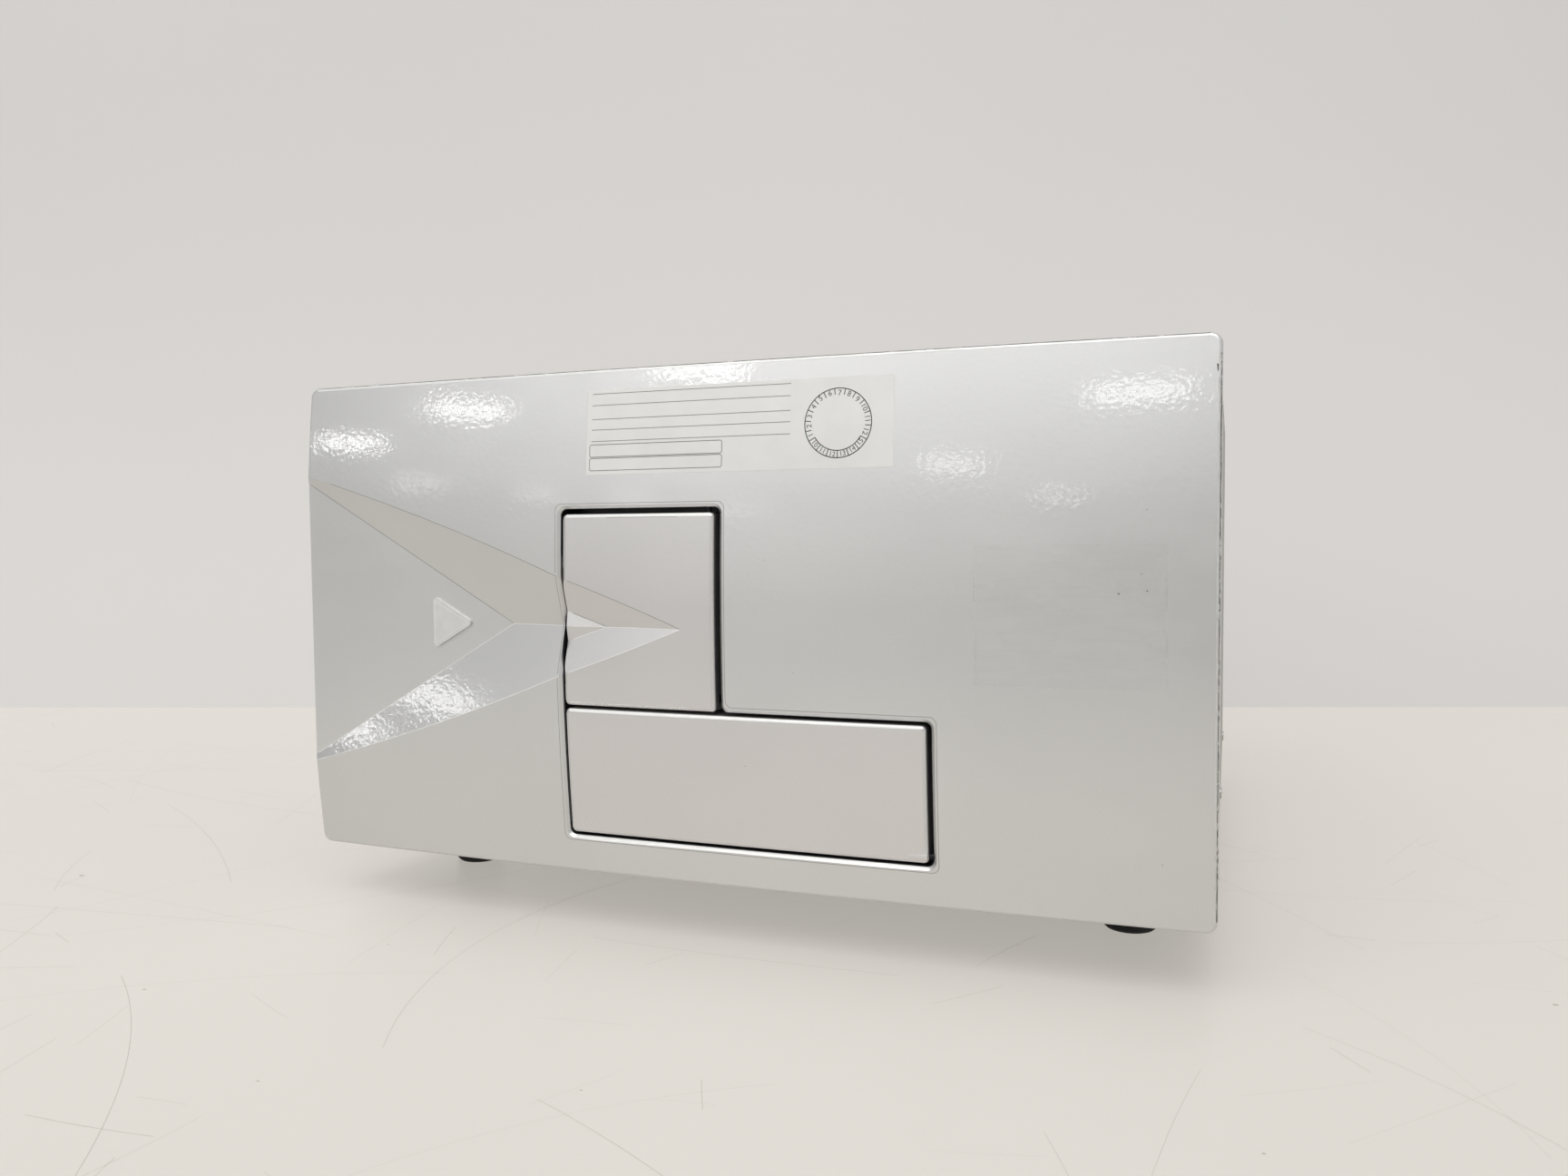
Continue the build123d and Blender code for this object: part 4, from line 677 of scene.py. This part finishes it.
def mark_panel():
    """Small chip near the right edge and a few specks on the front."""
    marks = Stamp(*MARK_LIFT)
    marks.patch([(x * MM, z * MM) for x, z in CHIP])
    for x, z, size in SPECKS:
        wide, tall = size * MM, 0.8 * size * MM
        marks.patch([(x * MM + wide * sin(turn), z * MM + tall * cos(turn)) for turn in SPECK_TURNS])
    marks.finish("paint_chips", ink("bare_chip", srgb(44, 44, 46), 0.05))


def mark_film():
    """Faint lines along the edges that the old tape left, near-white: the residue's edges with a painted
    highlight on them.
    """
    edge_lines = Stamp(*FILM_LIFT)
    for line in FILM_LINES:
        edge_lines.ribbon(finely([(x * MM, z * MM) for x, z in line], 4 * MM, closed=False), FILM_LINE)
    edge_lines.finish("tape_edge_lines", tape_edge_highlight)


def opening_path(grow):
    """Closed path round the stepped door opening, moved outwards by a distance."""
    left, right = OPENING_X[0] - grow, OPENING_X[1] + grow
    low, high = OPENING_Z[0] - grow, OPENING_Z[1] + grow
    step_x, step_z, r = STEP_X + grow, STEP_Z + grow, OPENING_CORNER
    inner = [radians(turn) for turn in range(90, -1, -18)]
    points = arc(step_x - r, high - r, r, 0, 90, 5)
    points += [(step_x + r - r * sin(turn), step_z + r - r * cos(turn)) for turn in inner]
    points += arc(right - r, step_z - r, r, 0, 90, 5) + arc(right - r, low + r, r, 90, 180, 5)
    points += arc(left + r, low + r, r, 180, 270, 5) + arc(left + r, high - r, r, 270, 360, 5)
    return finely(points)


def line_opening(panel):
    """Black lining on the opening's walls, from behind the bevel to the bezel."""
    mesh = bmesh.new()
    rows = []
    for inner, outer, beside in zip(opening_path(-LINING), opening_path(0.0), opening_path(BESIDE_BEVEL)):
        front = max(panel(*beside), front_at(*inner)) + BEHIND_BEVEL
        ring = [(outer, front), (inner, front), (inner, BEZEL_FRONT), (outer, BEZEL_FRONT)]
        rows.append([mesh.verts.new((x, y, z)) for (x, z), y in ring])
    for a, b in zip(rows, rows[1:] + rows[:1]):
        for i in range(4):
            j = (i + 1) % 4
            mesh.faces.new((a[i], b[i], b[j], a[j]))
    make_piece("opening_black_lining", mesh, materials["bezel_black"], "housing")


def crease_edges(node):
    """Creases of the recess between two faces that both look forward, as (start, end)."""
    mesh = bmesh.new()
    mesh.from_mesh(frame["nodes"][node].data)
    bmesh.ops.remove_doubles(mesh, verts=mesh.verts, dist=WELD)
    creases = []
    for edge in mesh.edges:
        if len(edge.link_faces) != 2 or edge.calc_length() < LEAST_CREASE:
            continue
        a, b = (face.normal for face in edge.link_faces)
        if a.y > -0.8 or b.y > -0.8 or a.angle(b) < radians(5):
            continue
        centre = (edge.verts[0].co + edge.verts[1].co) / 2
        if RECESS_X[0] < centre.x < RECESS_X[1] and RECESS_Z[0] < centre.z < RECESS_Z[1]:
            creases.append((edge.verts[0].co.copy(), edge.verts[1].co.copy()))
    mesh.free()
    return creases


def trim_creases(node, body, left):
    """Thin light on the lower creases right of a limit, and thin shade on the upper ones."""
    surface = Probe(node)
    light = Stamp(*CREASE_LIFT, surface)
    shade = Stamp(*CREASE_LIFT, surface)
    for a, b in crease_edges(node):
        stamp, width = (light, LIGHT_CREASE) if (a.z + b.z) / 2 < VALLEY_Z else (shade, SHADE_CREASE)
        path = [p for p in finely([(a.x, a.z), (b.x, b.z)], 1.0 * MM, closed=False) if p[0] > left]
        if len(path) > 1:
            stamp.ribbon(path, width, across=2)
    light.finish(f"{node}_crease_light", painted_highlight, body)
    shade.finish(f"{node}_crease_shade", edge_shade, body)


def contour(name, material, lift, surface, runs, body="housing"):
    """One piece of straight ribbons; each run is (start, end, width, strips across)."""
    stamp = Stamp(*lift, surface)
    for start, end, width, across in runs:
        stamp.ribbon(finely([start, end], CONTOUR_STEP, closed=False), width, across=across)
    stamp.finish(name, material, body)


def trim_panel():
    """Black lining and painted crease shade round the opening, painted highlights along the panel's rounded
    edges, a dark line down its right rim, and painted shade along its very top edge.
    """
    panel = Probe("front_panel")
    line_opening(panel)
    # Painted shade along the crease round the opening.
    crease_shade_line = Stamp(*EDGE_LIFT, panel)
    crease_shade_line.ribbon(opening_path(CREASE_SHADE_OUT), CREASE_SHADE_WIDTH, closed=True)
    crease_shade_line.finish("opening_crease_shade", edge_shade)
    low, high = PANEL_LOW[2], PANEL_HIGH[2]
    left, right = PANEL_LOW[0], PANEL_HIGH[0]
    start, end = left + PANEL_CORNER, right - PANEL_CORNER
    top, brow = high - 1.1 * MM, high - 0.3 * MM
    cheek, side, rim = left + 0.42 * MM, right - 1.1 * MM, right - 0.36 * MM
    sill = OPENING_Z[0] - 0.65 * MM
    # Painted highlights along the top edge, down the left rim and on the sill under the opening.
    contour("panel_painted_highlight", painted_highlight, BRIGHT_LIFT, panel,
            [((start, top), (end, top), 1.05 * MM, 4),
             ((cheek, high - PANEL_CORNER), (cheek, 208 * MM), 0.4 * MM, 2),
             ((OPENING_X[0] + 3 * MM, sill), (OPENING_X[1] - 3 * MM, sill), 0.95 * MM, 3)])
    # Softer painted highlight down the right-hand edge.
    contour("panel_painted_soft_highlight", painted_soft_highlight, EDGE_LIFT, panel,
            [((side, high - PANEL_CORNER), (side, low + PANEL_CORNER), 0.8 * MM, 3)])
    # Dark line painted down the right rim, and painted shade along the very top edge.
    contour("panel_edge_dark", edge_dark, EDGE_LIFT, panel,
            [((rim, high - 8 * MM), (rim, low + 5 * MM), 0.55 * MM, 3),
             ((start, brow), (end, brow), 0.44 * MM, 3)])


def trim_doors():
    """Painted highlights on the rounded top, left and right edges of both doors."""
    for name, low, high in (("plate_door", PLATE_LOW, PLATE_HIGH), ("filter_door", FILTER_LOW, FILTER_HIGH)):
        surface = Probe(name)
        top, side = high[2] - 0.95 * MM, high[0] - 0.9 * MM
        runs = [((low[0] + 2.2 * MM, top), (high[0] - 2.2 * MM, top), 1.35 * MM, 5)]
        runs += [((DOOR_LEFT_X, up), (DOOR_LEFT_X, down), 0.55 * MM, 3) for down, up in DOOR_LEFT[name]]
        contour(f"{name}_painted_highlight", painted_highlight, DOOR_TOP_LIFT, surface, runs, f"{name}_body")
        runs = [((side, high[2] - DOOR_CORNER), (side, low[2] + DOOR_CORNER), 0.8 * MM, 4)]
        contour(f"{name}_painted_soft_highlight", painted_soft_highlight, DOOR_SIDE_LIFT, surface, runs, f"{name}_body")


def rim_inlay():
    """Painted highlight round the rim of the raised arrow on the recess floor."""
    low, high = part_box("arrow_inlay")
    middle, inset = (low[2] + high[2]) / 2, 0.75 * MM
    left, tip = low[0] + inset, high[0] - 1.6 * inset
    corners = [(left, high[2] - 1.9 * inset), (tip, middle), (left, low[2] + 1.9 * inset)]
    rim = Stamp(*RIM_LIFT, Probe("arrow_inlay"))
    rim.ribbon(finely(corners, 3 * MM), 0.35 * MM, closed=True)
    rim.finish("inlay_rim", painted_highlight)


# ================================================================ stage, camera and light
def stage_plane(name, corners, material):
    mesh = bpy.data.meshes.new(name)
    mesh.from_pydata(corners, [], [tuple(range(len(corners)))])
    mesh.materials.append(material)
    put(name, mesh)


def stage_material(name, tint, roughness, fall, pale, lit):
    """Plain matt colour that falls off to a share of itself along one axis, as painted shade.

    A pale share of it shows to camera, glossy and transmission rays and lights nothing; lit is the
    share that the lamps light.
    """
    m = Nodes(name)
    tone = m.ramp(m.noise(1.3, 2.0), (0.3, 0.97), (0.7, 1.0))
    split = m.add("ShaderNodeSeparateXYZ")
    m.link(m.place(), split.inputs[0])
    axis, start, end, far = fall
    shade = m.times(m.times(tint, tone), m.fade(split.outputs[axis], start, end, far))
    rays = m.add("ShaderNodeLightPath").outputs
    seen = m.maths("MAXIMUM", rays["Is Camera Ray"], rays["Is Glossy Ray"])
    seen = m.maths("MAXIMUM", seen, rays["Is Transmission Ray"])
    m.set(Emission_Color=shade, Emission_Strength=m.maths("MULTIPLY", seen, pale))
    return m.set(Base_Color=m.times(shade, lit), Roughness=roughness)


def scratch_table():
    """Fine hairline scratches and a few dark specks on the table top."""
    pick = Random(7)
    mesh = bmesh.new()

    def line(points, width):
        rows = []
        for a, b in zip(points, points[1:]):
            side = Vector((a[1] - b[1], b[0] - a[0])).normalized() * width / 2
            rows.append([mesh.verts.new((end[0] + way * side.x, end[1] + way * side.y, SCRATCH_LIFT))
                         for end, way in ((a, 1), (a, -1), (b, -1), (b, 1))])
        for row in rows:
            mesh.faces.new(row)

    for _ in range(SCRATCH_COUNT):
        x, y = pick.uniform(*SCRATCH_X), pick.uniform(*SCRATCH_Y)
        heading, bend = pick.uniform(0, 2 * pi), pick.gauss(0, 2.2)
        length = pick.choice(SCRATCH_LENGTHS)
        points, steps = [(x, y)], max(3, int(length / SCRATCH_STEP))
        for _ in range(steps):
            heading += bend * length / steps
            x, y = x + cos(heading) * length / steps, y + sin(heading) * length / steps
            points.append((x, y))
        line(points, pick.uniform(*SCRATCH_WIDTHS))
    for x, y, size in TABLE_SPECKS:
        mesh.faces.new([mesh.verts.new((x + size * cos(turn), y + 0.7 * size * sin(turn), SCRATCH_LIFT))
                        for turn in TABLE_SPECK_TURNS])
    tone = ink("scratch_tone", srgb(196, 188, 178), 0.6)
    put("table_scratches", mesh_data("table_scratches", mesh, tone))


def see_through_from_behind(material):
    """Lets the back of a stage wall vanish, so that views from behind stay open."""
    m = Tree(material.node_tree)
    choice = m.add("ShaderNodeMixShader")
    m.link(m.add("ShaderNodeNewGeometry").outputs["Backfacing"], choice.inputs[0])
    m.link(m.tree.nodes["Principled BSDF"].outputs[0], choice.inputs[1])
    m.link(m.add("ShaderNodeBsdfTransparent").outputs[0], choice.inputs[2])
    m.link(choice.outputs[0], m.tree.nodes["Material Output"].inputs["Surface"])


def build_stage():
    """Pale table top and the wall behind it."""
    wall_a, wall_b = (Vector(foot) for foot in WALL_FOOT)
    along = (wall_b - wall_a).normalized()
    left, right = wall_a - along * STAGE_REACH, wall_b + along * STAGE_REACH
    front, up = Vector((0, -STAGE_REACH, 0)), Vector((0, 0, WALL_HEIGHT))
    # The table darkens to about half its colour far out in front: painted shade, which dims what the lacquer
    # mirrors from there.
    table = stage_material("table", srgb(237, 232, 224), 0.40, ("Y", -0.5, -1.3, 0.52), pale=0.48, lit=0.40)
    # The wall darkens towards the top: painted shade, standing in for the light that the table throws onto
    # its lower part.
    wall = stage_material("wall", srgb(240, 237, 234), 0.8, ("Z", 0.05, 0.75, 0.86), pale=0.40, lit=0.60)
    see_through_from_behind(wall)
    stage_plane("table_top", [left, left + front, right + front, right], table)
    stage_plane("wall_back", [left, right, right + up, left + up], wall)


def build_camera():
    camera = put("camera", bpy.data.cameras.new("camera"))
    camera.data.lens = CAMERA_LENS
    camera.data.sensor_width = SENSOR_WIDTH
    camera.data.clip_start = 0.01
    turn = Matrix.Rotation(CAMERA_YAW, 4, "Z") @ Matrix.Rotation(pi / 2 - CAMERA_PITCH, 4, "X")
    turn = turn @ Matrix.Rotation(CAMERA_ROLL, 4, "Z")
    camera.matrix_world = Matrix.Translation(CAMERA_PLACE) @ turn
    bpy.context.scene.camera = camera


def area_lamp(name, place, size, power):
    """Rectangular lamp that looks at the part."""
    lamp = bpy.data.lights.new(name, "AREA")
    lamp.shape = "RECTANGLE"
    lamp.size, lamp.size_y = size
    lamp.energy = power
    item = put(name, lamp)
    item.location = place
    item.rotation_euler = (Vector(LIT_CENTRE) - Vector(place)).to_track_quat("-Z", "Y").to_euler()


def build_lamps():
    """Even soft light from above and in front, and a field of ceiling lamps that the lacquer mirrors."""
    area_lamp("overhead", (0.0, -1.5, 2.3), (2.8, 2.0), 34)
    area_lamp("front_fill", (-1.0, -4.5, 2.0), (5.0, 2.2), 14)
    area_lamp("low_fill", (-1.6, -3.4, 0.30), (3.4, 0.5), 0.9)
    for count, (x, y, power) in enumerate(CEILING_LAMPS):
        area_lamp(f"ceiling_{count}", (x, y, CEILING), LAMP_SIZE, power)


def build_room():
    """Pale room all round, with two darker sides that the lacquer mirrors."""
    world = bpy.data.worlds.new("room")
    world.use_nodes = True
    m = Tree(world.node_tree)
    way = m.add("ShaderNodeTexCoord").outputs["Generated"]
    colour = ROOM_COLOUR
    for heading, start, share in SHADED_SIDES:
        toward = m.add("ShaderNodeVectorMath", operation="DOT_PRODUCT")
        m.link(way, toward.inputs[0])
        toward.inputs[1].default_value = Vector(heading).normalized()
        colour = m.times(colour, m.fade(toward.outputs["Value"], start, 1.0, share))
    background = m.tree.nodes["Background"]
    background.inputs["Strength"].default_value = ROOM_STRENGTH
    m.link(colour, background.inputs["Color"])
    bpy.context.scene.world = world


# ================================================================ build
bpy.context.scene.view_settings.view_transform = "Standard"
build_camera()
build_stage()
build_lamps()
build_room()
dress_nodes()
slab("label_sheet", LABEL_X, LABEL_Z, paper("label_paper", srgb(250, 249, 246)), LABEL_LIFT)
print_label()
mark_panel()
trim_panel()
trim_doors()
trim_creases("front_panel", "housing", PANEL_LOW[0] + 0.5 * MM)
trim_creases("filter_door", "filter_door_body", FILTER_LOW[0] + 2.4 * MM)
rim_inlay()
mark_film()
slab("tape_residue", RESIDUE_X, RESIDUE_Z, tape_film("tape_film"), RESIDUE_LIFT)
scratch_table()
